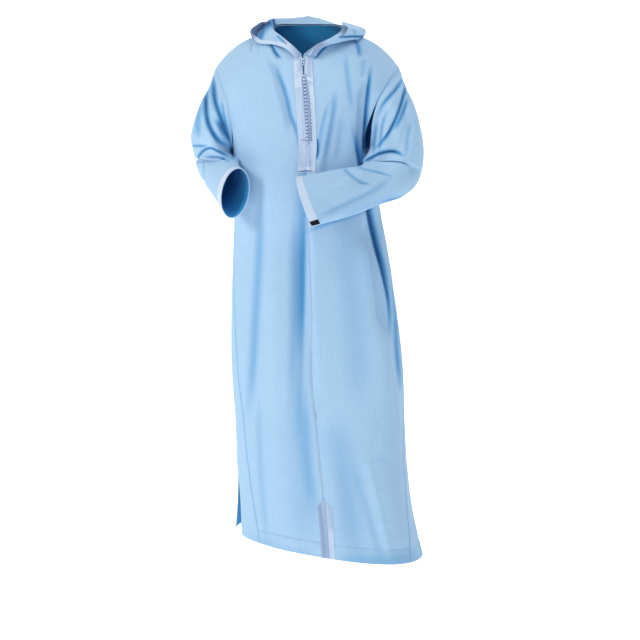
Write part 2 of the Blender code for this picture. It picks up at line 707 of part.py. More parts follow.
def gore_sheet(side):
    """Narrow side gore between the front panel and the side seam, open at its slit."""
    heights = skirt_heights()
    first = seam_angle("gore_" + side, heights)[:, None]
    last = seam_angle("side_" + side, heights)[:, None]
    angles = first + (last - first) * np.linspace(0, 1, GORE_COLUMNS + 1)
    sheet = fold_body(ring(heights[:, None] + 0 * angles, angles))
    sheet = draw_in(sheet, high=True)
    away = sheet[:, -2] - sheet[:, -1]
    open_below = np.clip((SIDE_SLIT_TOP_Z - sheet[:, -1, 2]) / (SIDE_SLIT_TOP_Z - HEM_Z), 0, 1)
    away *= (SIDE_SLIT_OPEN * open_below / np.linalg.norm(away, axis=-1))[:, None]
    sheet[:, -1] += away
    return sheet


def seam_out(kind, side, rows):
    """Outward direction along a seam below the chest, the same for both its panels."""
    heights = skirt_heights()[:rows]
    name = {"centre": "seam_front", "spine": "back"}.get(kind, kind + "_" + side)
    angle = seam_angle(name, heights)
    across = ring(heights, angle + 1.0) - ring(heights, angle - 1.0)
    out = np.stack([across[:, 1], -across[:, 0], 0 * across[:, 0]], axis=-1)
    return out / np.linalg.norm(out, axis=-1, keepdims=True)


def panel_normals(sheet, side, first, last):
    """Normals of a panel, with shared directions along its seams and shoulder."""
    turned = facing_out(sheet, side) if first != "spine" else sheet[:, ::-1] if side == "left" else sheet
    back = turned is not sheet
    out = normals_of(turned)
    out = out[:, ::-1] if back else out
    rows = min(len(sheet), SKIRT_ROWS + 1)
    out[:rows, 0] = seam_out(first, side, rows)
    out[:rows, -1] = seam_out(last, side, rows)
    if len(sheet) > rows:
        if first == "centre":
            out[rows:, 0, 0] = 0.0
        ridge = np.gradient(sheet[-1], axis=0)
        out[-1] = np.stack([-ridge[:, 2], 0 * ridge[:, 0], ridge[:, 0]], axis=-1)
        out[-1] *= np.sign(out[-1, :, 2:])
    return out / np.linalg.norm(out, axis=-1, keepdims=True)


def facing_out(sheet, side):
    """Turn a sheet that runs from the middle to the side so its normals point out."""
    return sheet if side == "left" else sheet[:, ::-1]


def row_at(z):
    """Index of the body row at one of the named heights."""
    heights = np.linspace(HEM_Z, CHEST_Z, SKIRT_ROWS + 1)
    return int(np.argmin(np.abs(heights - z)))


def make_body():
    fronts = {}
    for side in ("left", "right"):
        sheet = front_sheet(side)
        out = panel_normals(sheet, side, "centre", "gore")
        fronts[side] = (facing_out(sheet, side), facing_out(out, side))
        wall("front_" + side, fronts[side][0], blue_cloth(), out=fronts[side][1])
        sheet = gore_sheet(side)
        out = panel_normals(sheet, side, "gore", "side")
        wall("gore_" + side, facing_out(sheet, side), blue_cloth(), out=facing_out(out, side))
    make_back()
    return fronts


def make_back():
    """The back is one piece, with the two shoulders apart above the nape."""
    left = back_sheet("left")
    right = back_sheet("right")
    normals = [panel_normals(left, "left", "spine", "side")[:, ::-1]]
    normals.append(panel_normals(right, "right", "spine", "side"))
    left = left[:, ::-1]
    apart = np.linalg.norm(left[:, -1] - right[:, 0], axis=-1) > 1e-5
    shared = normals[0][:, -1] + normals[1][:, 0]
    shared /= np.linalg.norm(shared, axis=-1, keepdims=True)
    for part, column in ((0, -1), (1, 0)):
        normals[part][~apart, column] = shared[~apart]
    rows, columns = left.shape[:2]
    count = rows * columns
    faces = grid_faces(rows, columns)
    joined = {count + r * columns: r * columns + columns - 1 for r in range(rows) if not apart[r]}
    faces += [tuple(joined.get(count + i, count + i) for i in face) for face in grid_faces(rows, columns)]
    kept = sorted({i for face in faces for i in face})
    place = {old: new for new, old in enumerate(kept)}
    points = np.concatenate([left.reshape(-1, 3), right.reshape(-1, 3)])[kept]
    out = np.concatenate([n.reshape(-1, 3) for n in normals])[kept]
    faces = [tuple(place[i] for i in face) for face in faces]
    thicken("back", points, out, faces, blue_cloth())


def trim_lift(layers=0):
    """Height of a trim's middle over a panel's middle, with trims under it."""
    return WALL / 2 + TRIM_GAP + TRIM_THICK / 2 + layers * (TRIM_THICK + TRIM_GAP)


def make_placket(fronts):
    """Two bands of braid beside the front opening, with a cross end below."""
    low = row_at(BRAID_END_Z)
    high = SKIRT_ROWS + YOKE_ROWS // 2
    ends = []
    for side in ("left", "right"):
        sheet, out = fronts[side]
        columns = slice(0, 2) if side == "left" else slice(-2, None)
        band = sheet[low:high + 1, columns]
        face = out[low:high + 1, columns]
        wall("placket_" + side, band, silver_braid(), TRIM_THICK, lift=trim_lift(), out=face)
        ends.append((band[:2], face[:2]))
    shares = (END_BAND_RISE + np.array([0.0, END_BAND_HEIGHT])) / (HEIGHT_STEP)
    band = np.concatenate([ends[1][0], ends[0][0]], axis=1)[:, [0, 3]]
    out = np.concatenate([ends[1][1], ends[0][1]], axis=1)[:, [0, 3]]
    band = band[0] + (band[1] - band[0]) * shares[:, None, None]
    middle = band.mean(axis=1, keepdims=True) + out.mean(axis=(0, 1)) * END_BAND_BULGE
    band = np.concatenate([band[:, :1], middle, band[:, 1:]], axis=1)
    wall("placket_end", band, silver_braid(), TRIM_THICK, lift=trim_lift(1) + END_BAND_LIFT)


def seam_line(fronts, heights):
    """Points of the centre seam and the outward direction there."""
    edge = (fronts["left"][0][:, 0] + fronts["right"][0][:, -1]) / 2
    out = fronts["left"][1][:, 0] + fronts["right"][1][:, -1]
    out /= np.linalg.norm(out, axis=-1, keepdims=True)
    z = edge[:SKIRT_ROWS + YOKE_ROWS // 2 + 1, 2]
    spots = np.stack([np.interp(heights, z, edge[:len(z), k]) for k in range(3)], axis=-1)
    away = np.stack([np.interp(heights, z, out[:len(z), k]) for k in range(3)], axis=-1)
    return spots, away / np.linalg.norm(away, axis=-1, keepdims=True)


def make_knots(fronts):
    """Row of small knot buttons down the placket and one larger at the neck."""
    heights = np.linspace(KNOT_TOP_Z, KNOT_END_Z, KNOT_COUNT)
    spots, away = seam_line(fronts, heights)
    reach = trim_lift() + TRIM_THICK / 2 + TRIM_GAP + KNOT_RADIUS
    for i in range(KNOT_COUNT):
        add_bead("knot_%02d" % (i + 1), spots[i] + away[i] * reach, KNOT_RADIUS, 1.0)
    spots, away = seam_line(fronts, np.array([NECK_BUTTON_Z]))
    reach += NECK_BUTTON_RADIUS - KNOT_RADIUS - NECK_BUTTON_SINK
    add_bead("neck_button", spots[0] + away[0] * reach, NECK_BUTTON_RADIUS, 1.7)


def add_bead(name, centre, radius, length):
    """Small ball, drawn out upright by the given share."""
    shaped = bmesh.new()
    bmesh.ops.create_uvsphere(shaped, u_segments=8, v_segments=5, radius=radius)
    for vertex in shaped.verts:
        vertex.co.z *= length
        vertex.co += Vector(centre)
    mesh = bpy.data.meshes.new(name)
    shaped.to_mesh(mesh)
    shaped.free()
    return add_object(name, mesh, silver_braid())


def make_seam_cord(fronts):
    """Thin braided cord laid in the centre seam, with a bar tack on it."""
    heights = np.linspace(BRAID_END_Z - 0.003, SLIT_TOP_Z + 0.004, 28)
    spots, away = seam_line(fronts, heights)
    middle = spots + away * (WALL / 2 + CORD_SEAT + CORD_RADIUS)
    along = np.gradient(middle, axis=0)
    side = np.cross(along, away)
    side /= np.linalg.norm(side, axis=-1, keepdims=True)
    turns = np.radians(np.arange(6) * 60.0)
    rings = middle[:, None] + CORD_RADIUS * (
        np.cos(turns)[None, :, None] * away[:, None] + np.sin(turns)[None, :, None] * side[:, None])
    faces = grid_faces(len(rings), 6, closed=True)
    faces += [tuple(range(5, -1, -1)), tuple(len(rings) * 6 - 6 + i for i in range(6))]
    mesh = bpy.data.meshes.new("seam_cord")
    mesh.from_pydata([tuple(p) for p in rings.reshape(-1, 3)], [], faces)
    add_object("seam_cord", mesh, silver_braid())
    spots, away = seam_line(fronts, np.array([BAR_TACK_Z - 0.008, BAR_TACK_Z, BAR_TACK_Z + 0.008]))
    lift = WALL / 2 + CORD_SEAT + TRIM_GAP + 2 * CORD_RADIUS + TRIM_THICK / 2
    half = np.array([0.001, 0.003, 0.001])[:, None]
    sideways = np.array([[1.0, 0.0, 0.0]])
    tack = np.stack([spots - half * sideways, spots + half * sideways], axis=1)
    wall("bar_tack", tack, silver_braid(), TRIM_THICK, lift=lift, out=np.stack([away, away], axis=1))


def make_slit_facings(fronts):
    """Pointed facing each side of the front slit, lying on the panels."""
    high = row_at(SLIT_TOP_Z)
    for side in ("left", "right"):
        sheet, out = (part[:high + 1] for part in fronts[side])
        if side == "right":
            sheet, out = sheet[:, ::-1], out[:, ::-1]
        share = SLIT_FACING_WIDTH / BRAID_WIDTH
        near, far = sheet[:, 0], sheet[:, 0] + (sheet[:, 1] - sheet[:, 0]) * share
        shoulder = [line[-1] + (line[-2] - line[-1]) * FACING_SHOULDER for line in (near, far)]
        apex = [near[-1], near[-1] + (far[-1] - near[-1]) * POINT_WIDTH]
        rows = [[near[i], far[i]] for i in range(high)] + [shoulder, apex]
        tilt = [[out[i, 0], out[i, 1]] for i in range(high)]
        tilt += [[out[-1, 0], out[-1, 1]], [out[-1, 0], out[-1, 0]]]
        rows, tilt = np.array(rows), np.array(tilt)
        if side == "right":
            rows, tilt = rows[:, ::-1], tilt[:, ::-1]
        lift = trim_lift() + FACING_LIFT
        wall("slit_facing_" + side, rows, grey_facing(), TRIM_THICK, lift=lift, out=tilt)


def sleeve_places(side):
    """Row places of a sleeve, the last row one cuff band's width from its end."""
    rings = sleeve_rings(side)
    length = np.linalg.norm(rings[-1].mean(axis=0) - rings[-2].mean(axis=0))
    cuff = CUFF_WIDTH / (length * (len(rings) - 1))
    return np.concatenate([np.linspace(0, 1 - cuff, SLEEVE_ROWS), [1.0]])


def make_sleeves():
    for side in ("left", "right"):
        sheet = sleeve_sheet(side, sleeve_places(side))
        sign = 1.0 if side == "left" else -1.0
        angles = np.radians(np.arange(SLEEVE_SIDES) * 360.0 / SLEEVE_SIDES)
        away = sheet[1] - sheet[0]
        sheet[0] += away / np.linalg.norm(away, axis=-1, keepdims=True) * ARMHOLE_GAP
        sheet[0, :, 0] += sign * UNDERARM_STEP * np.clip(-2.2 * np.cos(angles) - 1.0, 0, 1)
        sheet[0, :, 2] = np.maximum(sheet[0, :, 2], CHEST_Z + ARMHOLE_GAP)
        turned = sheet[:, ::-1] if side == "left" else sheet
        out = normals_of(turned, closed=True)
        if ((turned[3] - turned[3].mean(axis=0)) * out[3]).sum() < 0:
            turned = turned[:, ::-1]
            out = -out[:, ::-1]
        wall("sleeve_" + side, turned, blue_cloth(), closed=True, out=out)
        band = turned[-2:]
        wall("cuff_" + side, band, silver_braid(), TRIM_THICK, True, trim_lift(), out[-2:])
        if side == "left":
            make_tag(turned, out)


def make_tag(sheet, out):
    """Plain ribbon tag on the left cuff band, above its lower edge."""
    low = int(np.argmin(sheet[-1, :, 2]))
    step = 1 if sheet[-1, low + 1, 1] < sheet[-1, low - 1, 1] else -1
    columns = low + step * TAG_COLUMNS
    if step < 0:
        columns = columns[::-1]
    first = np.floor(columns).astype(int)
    share = (columns - first)[None, :, None]
    spots, face = (part[-2:, first] * (1 - share) + part[-2:, first + 1] * share for part in (sheet, out))
    wall("cuff_tag", spots, black_tag(), TAG_THICK, lift=trim_lift(1), out=face)


def make_hood():
    """Hood lying down on the shoulders and back, with braid along its free edge."""
    right = path(neck_edge("right"), np.clip(HOOD["neck"] * 2, 0, 1))
    left = path(neck_edge("left"), np.clip(2 - HOOD["neck"] * 2, 0, 1))
    seam = np.where(HOOD["neck"][:, None] < 0.5, right, left) + [0, 0, HOOD_SEAT]
    names = ("bend", "low", "fold", "edge")
    net = [seam] + [np.stack([HOOD[n + "_" + k] for k in "xyz"], axis=-1) * MM for n in names]
    net = np.stack(net, axis=1)
    fine = spread(net, np.linspace(0, 1, HOOD_ROWS + 1), np.linspace(0, 1, 41))
    sheet = np.empty((HOOD_ROWS + 1, HOOD_COLUMNS + 1, 3))
    for r, row in enumerate(fine):
        steps = np.linalg.norm(np.diff(row, axis=0), axis=1)
        along = np.concatenate([[0.0], np.cumsum(steps)])
        braid = min(BRAID_WIDTH, along[-1] * 0.6)
        marks = np.append(np.linspace(0, along[-1] - braid, HOOD_COLUMNS), along[-1])
        sheet[r] = np.stack([np.interp(marks, along, row[:, k]) for k in range(3)], axis=-1)
    out = normals_of(sheet)
    if out[1, -1, 1] > 0:
        out = -out
    wall("hood", sheet, blue_cloth(), out=out)
    strip = sheet[:, -2:].copy()
    strip[:, 0] += (strip[:, 1] - strip[:, 0]) * POINT_WIDTH
    face = normals_of(strip)
    face *= np.sign((face * out[:, -2:]).sum(axis=-1, keepdims=True))
    lift = trim_lift() + HOOD_BRAID_LIFT
    wall("hood_braid", strip, silver_braid(), TRIM_THICK, lift=lift, out=face)


def main():
    clear_scene()
    fronts = make_body()
    make_placket(fronts)
    make_knots(fronts)
    make_seam_cord(fronts)
    make_slit_facings(fronts)
    make_sleeves()
    make_hood()


main()
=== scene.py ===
"""Hooded thobe in light-blue slub cloth with silver braid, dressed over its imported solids.

The file is laid out as an add-on and run as a script. Units are metres, +Z is up, the
front faces -Y and +X is the garment's left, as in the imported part. Every cloth piece is
laid through the same tables of sections as the solid it stands for, on a finer grid.
"""
import functools
import json
import math

import bmesh
import bpy
import numpy as np
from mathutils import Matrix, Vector

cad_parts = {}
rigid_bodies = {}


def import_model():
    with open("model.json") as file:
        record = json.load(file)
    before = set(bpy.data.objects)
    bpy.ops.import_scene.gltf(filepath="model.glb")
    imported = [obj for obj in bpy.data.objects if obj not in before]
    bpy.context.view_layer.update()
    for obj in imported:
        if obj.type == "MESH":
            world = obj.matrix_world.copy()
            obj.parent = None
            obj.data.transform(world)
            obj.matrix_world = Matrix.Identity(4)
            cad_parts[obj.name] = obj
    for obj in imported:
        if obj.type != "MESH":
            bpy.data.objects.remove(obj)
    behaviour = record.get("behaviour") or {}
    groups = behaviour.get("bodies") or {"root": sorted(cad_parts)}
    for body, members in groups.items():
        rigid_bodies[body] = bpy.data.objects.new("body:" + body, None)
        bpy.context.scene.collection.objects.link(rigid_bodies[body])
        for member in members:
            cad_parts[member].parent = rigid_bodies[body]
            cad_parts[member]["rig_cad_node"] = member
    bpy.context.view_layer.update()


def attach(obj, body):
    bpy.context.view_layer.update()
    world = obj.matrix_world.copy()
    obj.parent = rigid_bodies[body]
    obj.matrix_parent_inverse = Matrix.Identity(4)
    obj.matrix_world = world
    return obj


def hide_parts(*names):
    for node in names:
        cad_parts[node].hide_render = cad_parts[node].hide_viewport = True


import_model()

bl_info = {
    "name": "Hooded Thobe",
    "version": (1, 0, 0),
    "blender": (4, 5, 0),
    "location": "3D View > Sidebar > Thobe",
    "description": "Builds a hooded thobe in slub cloth with silver braid",
    "category": "Object",
}
BODY_NAME = "root"
SIDES = ("left", "right")
MM = 0.001

# Walls of cloth and trim, and how far each lies off what carries it
SCENE_WALL = 0.0012
TRIM_THICK = 0.0009
TRIM_LIFT = 0.0009
BAND_LIFT = 0.0004
OVERLAY_LIFT = 0.0020
CUFF_LIFT = 0.0002
TAG_LIFT = 0.0012
TAG_THICK = 0.0007
HOOD_SEAT = 0.0032
# A sleeve stays clear of the body by the first distance high up, by the second low down.
SLEEVE_CLEAR = (0.0026, 0.0076)
SLEEVE_CLEAR_Z = -0.355
SLEEVE_CLEAR_EASE = 0.025
SLEEVE_CLEAR_ABOVE_CHEST = 0.06

# Heights on the garment, from the shoulder line
HEM_Z = -1.430
CHEST_Z = -0.330
BRAID_END_Z = -0.392
SLIT_TOP_Z = -1.270
SIDE_SLIT_TOP_Z = -1.215
KNOT_TOP_Z = -0.138
KNOT_END_Z = -0.312
BAR_TACK_Z = -1.045
NECK_BUTTON_Z = -0.100

# Hem and side slits
HEM_TILT = 0.020
HEM_TILT_TURN = 5.0
HEM_TILT_TOP = -0.950
HEM_DEPTH = 0.040
HEM_THICK = 0.0005
HEM_STEP = 0.002
HEM_LINE = 0.0009
HEM_LINE_WIDTH = 0.0025
SIDE_SLIT_PULL = {"left": (0.003, 0.0), "right": (0.028, 0.034)}

# Braid, knots, cord and facing
BRAID_WIDTH = 0.025
BRAID_START = 0.0003
CUFF_WIDTH = 0.025
HOOD_BRAID_START = 0.001
HOOD_BRAID_WIDTH = 0.014
HOOD_BRAID_STEP = 0.0015
NECK_BRAID_START = 0.0006
NECK_BRAID_LENGTH = 0.085
NECK_BRAID_WIDTH = 0.013
NECK_BRAID_TAPER = 0.03
RIB_HEIGHT = 0.0007
RIB_SHADE = 0.26
RIBS_BELOW_Z = -0.200
CROSS_BAND = (0.0075, 0.0165)
TAB_ENDS = {"right": (-0.165, -0.139), "left": (-0.147, -0.137)}
TAB_START = 0.007
TAG_REACH = (0.048, 0.108)
KNOT_COUNT = 20
KNOT_RADIUS = 0.0031
KNOT_LIFT = 0.0052
CORD_RADIUS = {"loops": 0.0009, "lacing": 0.0013, "hook": 0.0014, "piping": 0.0010,
               "seam": 0.0008, "tack": 0.0010}
# A cord loop from the braid to its knot: place across, height off the cloth, half its gape
LOOP_RUN = ((0.017, 0.0026, 0.0016), (0.010, 0.0036, 0.00176),
            (0.003, 0.0042, 0.00208), (-0.001, 0.0050, 0.0016))
LACING_RISES = (0.004, 0.002)
LACING_START = 0.0072
LACING_END = 0.0100
LACING_SWING = (-0.0016, 0.0024)
CORD_LIFT = 0.0034
HOOK_LIFT = 0.0056
HOOK_BAR_RISE = 0.0060
HOOK_BAR_HALF = 0.0055
HOOK_RING_RADIUS = 0.0034
HOOK_RING_RISES = (0.0008, -0.0066)
PIPING_LIFT = 0.0026
PIPING_BACK = 0.0024
SEAM_CORD_ENDS = (-0.003, 0.004)
SEAM_CORD_LIFT = 0.0014
SEAM_CORD_HALF = 0.0006
SEAM_CORD_TWIST = 0.008
BAR_TACK_HALF = (0.0034, 0.008)
SLIT_FACING_WIDTH = 0.020
FACING_POINT = 0.022

# Seams and stitches
UNDERARM_STEP = 0.0050
UNDERARM_RISE = 0.0016
ARMHOLE_HOLD = 0.014
ARMHOLE_HOLD_ROWS = 12
SLEEVE_LAP = 0.002
SLEEVE_TUCK = (-0.0022, -0.0008)
SLEEVE_HOLD_ROWS = 5.0
SEAM_DRAW = 0.0014
SEAM_DRAW_WIDTH = 0.0022
SEAM_RIDGE = 0.0006
SEAM_RIDGE_PLACE = 0.007
SEAM_RIDGE_WIDTH = 0.003
SEAM_SHADE = 0.34
SEAM_SHADE_WIDTH = 0.0020
STITCH_RADIUS = 0.0004
STITCH_PITCH = 0.0052
STITCH_LENGTH = 0.0036
STITCH_LIFT = 0.0009
TOPSTITCH_BACK = 0.005

# Grid of the cloth pieces
SKIRT_ROWS = 270
YOKE_ROWS = 84
NECK_ROW = SKIRT_ROWS + YOKE_ROWS // 2
FRONT_COLUMNS = 84
GORE_COLUMNS = 22
BACK_COLUMNS = 70
SLEEVE_SIDES = 132
SLEEVE_ROWS = 150
HOOD_ROWS = 260
HOOD_COLUMNS = 76
SKIRT_NET_ROWS = 14
YOKE_NET_ROWS = 8
NET_COLUMNS = 8
CHEST_SHARE = (SKIRT_NET_ROWS - 1) / (SKIRT_NET_ROWS + YOKE_NET_ROWS - 2)
SLIT_PIPING_ROWS = slice(SKIRT_ROWS + 30, NECK_ROW + 30)

# Share of a fold, crease or shade stroke over which its strength fades at each end
FOLD_FADE = 0.22
CREASE_FADE = 0.30
SHADE_FADE = 0.20

# Camera, which also reads the tables of creases drawn on the photograph's frame
FRAME_PIXELS = 640
FOCAL_PIXELS = 1528.0
CAMERA_PLACE = (0.033, -4.2, -0.215)
CAMERA_DIP = 8.0
SENSOR_MM = 36.0

# Softboxes: name, place, aim, diameter, watts and colour
SOFTBOXES = (
    ("key_softbox", (-3.7, -3.0, 1.7), (0.0, 0.0, -0.6), 1.6, 113, (1.0, 0.91, 0.81)),
    ("front_softbox", (-0.6, -4.4, 1.8), (0.0, 0.0, -0.7), 2.0, 22, (1.0, 0.95, 0.90)),
    ("top_softbox", (1.3, -0.7, 2.6), (0.1, 0.0, -0.4), 1.6, 40, (1.0, 0.96, 0.93)),
)
WORLD_COLOUR = (0.76, 0.89, 1.0, 1)
WORLD_STRENGTH = 0.36
PAPER_GLOW = 0.55
FLOOR_Z = -1.56
SWEEP = ((-9.0, 0.0), (2.5, 0.0), (3.6, 0.15), (4.4, 0.7), (4.8, 1.6), (4.9, 9.0))


def table(names, rows):
    """Turn rows of numbers into one array for each named column."""
    data = np.array(rows, dtype=float)
    return dict(zip(names.split(), data.T))


# Sections of the body from hem to chest. centre_x and centre_y place the section, turn
# is its yaw in degrees, left, right, front and back are its reaches. The last five
# columns are the angles in degrees of the seams, from 0 at the front to 90 at +X.
BODY = table(
    "height centre_x centre_y turn left right front back"
    " seam_front gore_left side_left gore_right side_right",
    [
        (-1.430, 0.053, -0.018, 24, 0.277, 0.272, 0.156, 0.160, 12.6, 75, 97, -28, -72),
        (-1.320, 0.044, -0.014, 21, 0.252, 0.252, 0.153, 0.156, 12, 83, 99, -37, -76),
        (-1.200, 0.037, -0.010, 16, 0.241, 0.242, 0.150, 0.152, 7.7, 86, 99, -46, -83),
        (-1.090, 0.032, -0.006, 10, 0.237, 0.237, 0.148, 0.148, 3.2, 87, 99, -54, -90),
        (-0.950, 0.026, -0.003, 4, 0.238, 0.238, 0.146, 0.144, -1, 86, 99, -62, -96),
        (-0.750, 0.015, 0.000, 0, 0.226, 0.226, 0.144, 0.138, -0.8, 86, 99, -72, -98),
        (-0.560, 0.002, 0.000, 0, 0.206, 0.205, 0.142, 0.132, 0, 84, 98, -80, -98),
        (-0.440, -0.004, 0.000, 0, 0.192, 0.195, 0.140, 0.130, 0, 82, 98, -82, -98),
        (-0.330, -0.008, 0.000, 0, 0.178, 0.198, 0.137, 0.128, 1.9, 78, 98, -76, -98),
    ],
)
BODY_ROUNDNESS = 2.25

# Armhole edge from the front of the underarm over the shoulder to the back of it.
# The first and last rows come from the chest section.
ARMHOLE = table(
    "left_x right_x y z",
    [
        (0.171, -0.205, -0.090, -0.268),
        (0.188, -0.216, -0.098, -0.205),
        (0.219, -0.236, -0.062, -0.152),
        (0.250, -0.252, 0.000, -0.119),
        (0.234, -0.236, 0.066, -0.150),
        (0.210, -0.212, 0.100, -0.212),
        (0.192, -0.198, 0.090, -0.280),
    ],
)
ARMHOLE_TOP = 3

# Neck edge, from the bottom of the V over the shoulder to the nape
NECK = table(
    "left_x right_x y z",
    [
        (-0.010, -0.015, -0.130, -0.086),
        (0.020, -0.038, -0.121, -0.064),
        (0.058, -0.064, -0.094, -0.044),
        (0.086, -0.087, -0.048, -0.024),
        (0.093, -0.093, 0.000, -0.008),
        (0.076, -0.076, 0.048, 0.001),
        (0.040, -0.040, 0.077, 0.003),
        (0.000, 0.000, 0.086, 0.003),
    ],
)
NECK_SHOULDER = 4

# Front edge above the chest, up to the bottom of the V
PLACKET = table(
    "x half_opening y z",
    [
        (0.0000, 0.0000, -0.137, -0.330),
        (-0.0010, 0.0001, -0.137, -0.270),
        (-0.0040, 0.0003, -0.136, -0.210),
        (-0.0080, 0.0007, -0.133, -0.160),
        (-0.0110, 0.0018, -0.131, -0.115),
        (-0.0125, 0.0025, -0.130, -0.086),
    ],
)

# Shoulder ridge between the neck edge and the armhole, as shares of the way
SHOULDER = table("share rise", [(0.0, 0.0), (0.3, 0.012), (0.6, 0.021), (0.85, 0.014), (1.0, 0.0)])

# Centre of the back above the chest
SPINE = table(
    "x y z",
    [(-0.008, 0.128, -0.330), (-0.004, 0.130, -0.240), (0.0, 0.122, -0.130), (0.0, 0.104, -0.050)],
)

# Sleeve sections. The inner point is on the crook side, the outer on the elbow side,
# front and back are the reaches at right angles to both, and lead is how far the front
# runs ahead of the middle towards the cuff.
SLEEVE_NAMES = "inner_x inner_y inner_z outer_x outer_y outer_z front back lead"
SLEEVE_LEFT = table(
    SLEEVE_NAMES,
    [
        (0.160, -0.078, -0.344, 0.278, -0.006, -0.205, 0.092, 0.082, 0),
        (0.153, -0.106, -0.356, 0.294, -0.008, -0.286, 0.088, 0.070, 0),
        (0.154, -0.122, -0.363, 0.300, -0.012, -0.356, 0.078, 0.052, 0),
        (0.148, -0.136, -0.370, 0.288, -0.034, -0.424, 0.068, 0.034, 0),
        (0.132, -0.150, -0.375, 0.254, -0.080, -0.459, 0.058, 0.028, 0),
        (0.096, -0.170, -0.379, 0.192, -0.128, -0.477, 0.050, 0.028, 0.004),
        (0.040, -0.200, -0.388, 0.112, -0.170, -0.505, 0.041, 0.030, 0.011),
        (-0.028, -0.232, -0.400, 0.014, -0.210, -0.527, 0.031, 0.031, 0.020),
    ],
)
SLEEVE_RIGHT = table(
    SLEEVE_NAMES,
    [
        (-0.206, -0.036, -0.345, -0.278, 0.014, -0.200, 0.084, 0.070, 0),
        (-0.196, -0.076, -0.351, -0.296, 0.044, -0.288, 0.070, 0.062, 0),
        (-0.195, -0.094, -0.357, -0.294, 0.056, -0.346, 0.058, 0.052, 0),
        (-0.197, -0.108, -0.360, -0.282, 0.034, -0.402, 0.052, 0.040, 0),
        (-0.194, -0.124, -0.366, -0.260, -0.014, -0.438, 0.048, 0.036, 0),
        (-0.192, -0.140, -0.371, -0.230, -0.088, -0.473, 0.043, 0.036, 0),
        (-0.178, -0.168, -0.380, -0.203, -0.164, -0.509, 0.038, 0.038, 0),
    ],
)

# Hood sections, from the right of the V round the back to the left of it. The
# neck share places the section's seam on the neck edge, and each section runs from
# there through an upper bend, a low point and a fold to the free edge, in mm.
HOOD = table(
    "neck bend_x bend_y bend_z low_x low_y low_z"
    " fold_x fold_y fold_z edge_x edge_y edge_z",
    [
        (0.000, -18, -133.5, -85, -22, -136, -87, -26, -137, -89.5, -30, -137, -92),
        (0.058, -44, -124, -60, -48, -129, -63, -52, -132, -66, -56, -134, -69),
        (0.125, -70, -94, -34, -76, -103, -39, -76, -114, -50, -77, -124, -60),
        (0.180, -86, -62, -21, -90, -70, -23, -90, -86, -42, -94, -103, -56),
        (0.240, -99, -26, -6, -106, -36, -14, -121, -56, -36, -136, -68, -50),
        (0.300, -106, 8, 12, -122, -2, -12, -142, -12, -24, -155, -16, -18),
        (0.370, -88, 60, 20, -112, 64, -14, -134, 54, -20, -140, 40, 2),
        (0.430, -56, 92, 17, -78, 128, -90, -104, 142, -80, -121, 108, 14),
        (0.470, -28, 106, 12, -38, 148, -195, -56, 174, -185, -68, 156, 8),
        (0.500, 0, 110, 11, 0, 152, -265, 0, 184, -255, 0, 172, 3),
        (0.530, 28, 106, 11, 40, 148, -190, 56, 172, -180, 62, 156, 6),
        (0.570, 64, 92, 8, 90, 126, -70, 112, 138, -60, 98, 112, 6),
        (0.630, 100, 64, -5, 138, 78, -38, 148, 74, -18, 100, 60, 9),
        (0.700, 117, 8, -9, 148, 6, -28, 153, 4, -10, 96, 4, 8),
        (0.780, 108, -48, -24, 136, -52, -39, 145, -44, -17, 91, -46, 0),
        (0.820, 92, -76, -30, 111, -86, -44, 122, -91, -30, 107, -102, -12),
        (0.870, 69, -102, -40, 78, -112, -50, 86, -122, -50, 88, -132, -43),
        (0.940, 25, -126, -58, 30, -134, -59, 34, -138, -63, 38, -140, -67),
        (1.000, -3, -136, -84, 5, -140, -85, 14, -142, -87, 22, -142, -89),
    ],
)

# Largest folds of the body. face is 1 on the front and -1 on the back, depth is
# positive for a ridge, the two widths lie on the -X and +X sides of the line, and the
# line runs through three points given as x and height.
BODY_FOLDS = table(
    "face depth width_a width_b x1 z1 x2 z2 x3 z3",
    [
        (1, -0.030, 0.030, 0.018, 0.172, -0.480, 0.196, -0.640, 0.222, -0.860),
        (1, 0.010, 0.030, 0.016, 0.150, -0.520, 0.176, -0.680, 0.226, -1.080),
        (1, -0.016, 0.040, 0.012, -0.002, -0.500, 0.002, -0.760, 0.010, -1.020),
        (1, 0.006, 0.010, 0.040, 0.012, -0.480, 0.018, -0.760, 0.024, -1.000),
        (1, -0.022, 0.016, 0.020, 0.158, -0.150, 0.154, -0.260, 0.150, -0.380),
        (1, -0.010, 0.012, 0.022, -0.104, -0.062, -0.070, -0.160, -0.038, -0.300),
        (1, 0.006, 0.016, 0.012, 0.072, -0.220, 0.044, -0.330, 0.024, -0.420),
        (1, 0.010, 0.050, 0.050, 0.190, -1.200, 0.222, -1.320, 0.240, -1.430),
        (1, -0.008, 0.040, 0.040, 0.110, -1.150, 0.130, -1.300, 0.140, -1.430),
        (1, -0.007, 0.036, 0.030, -0.120, -0.700, -0.130, -0.950, -0.128, -1.150),
        (-1, -0.014, 0.040, 0.040, -0.120, -0.420, -0.130, -0.800, -0.120, -1.300),
        (-1, -0.016, 0.044, 0.040, 0.020, -0.480, 0.030, -0.900, 0.050, -1.380),
        (-1, -0.013, 0.040, 0.036, 0.130, -0.420, 0.160, -0.820, 0.190, -1.300),
        (-1, 0.010, 0.040, 0.040, -0.060, -0.500, -0.060, -0.900, -0.050, -1.430),
        (-1, 0.010, 0.040, 0.040, 0.090, -0.500, 0.100, -0.900, 0.130, -1.430),
    ],
)

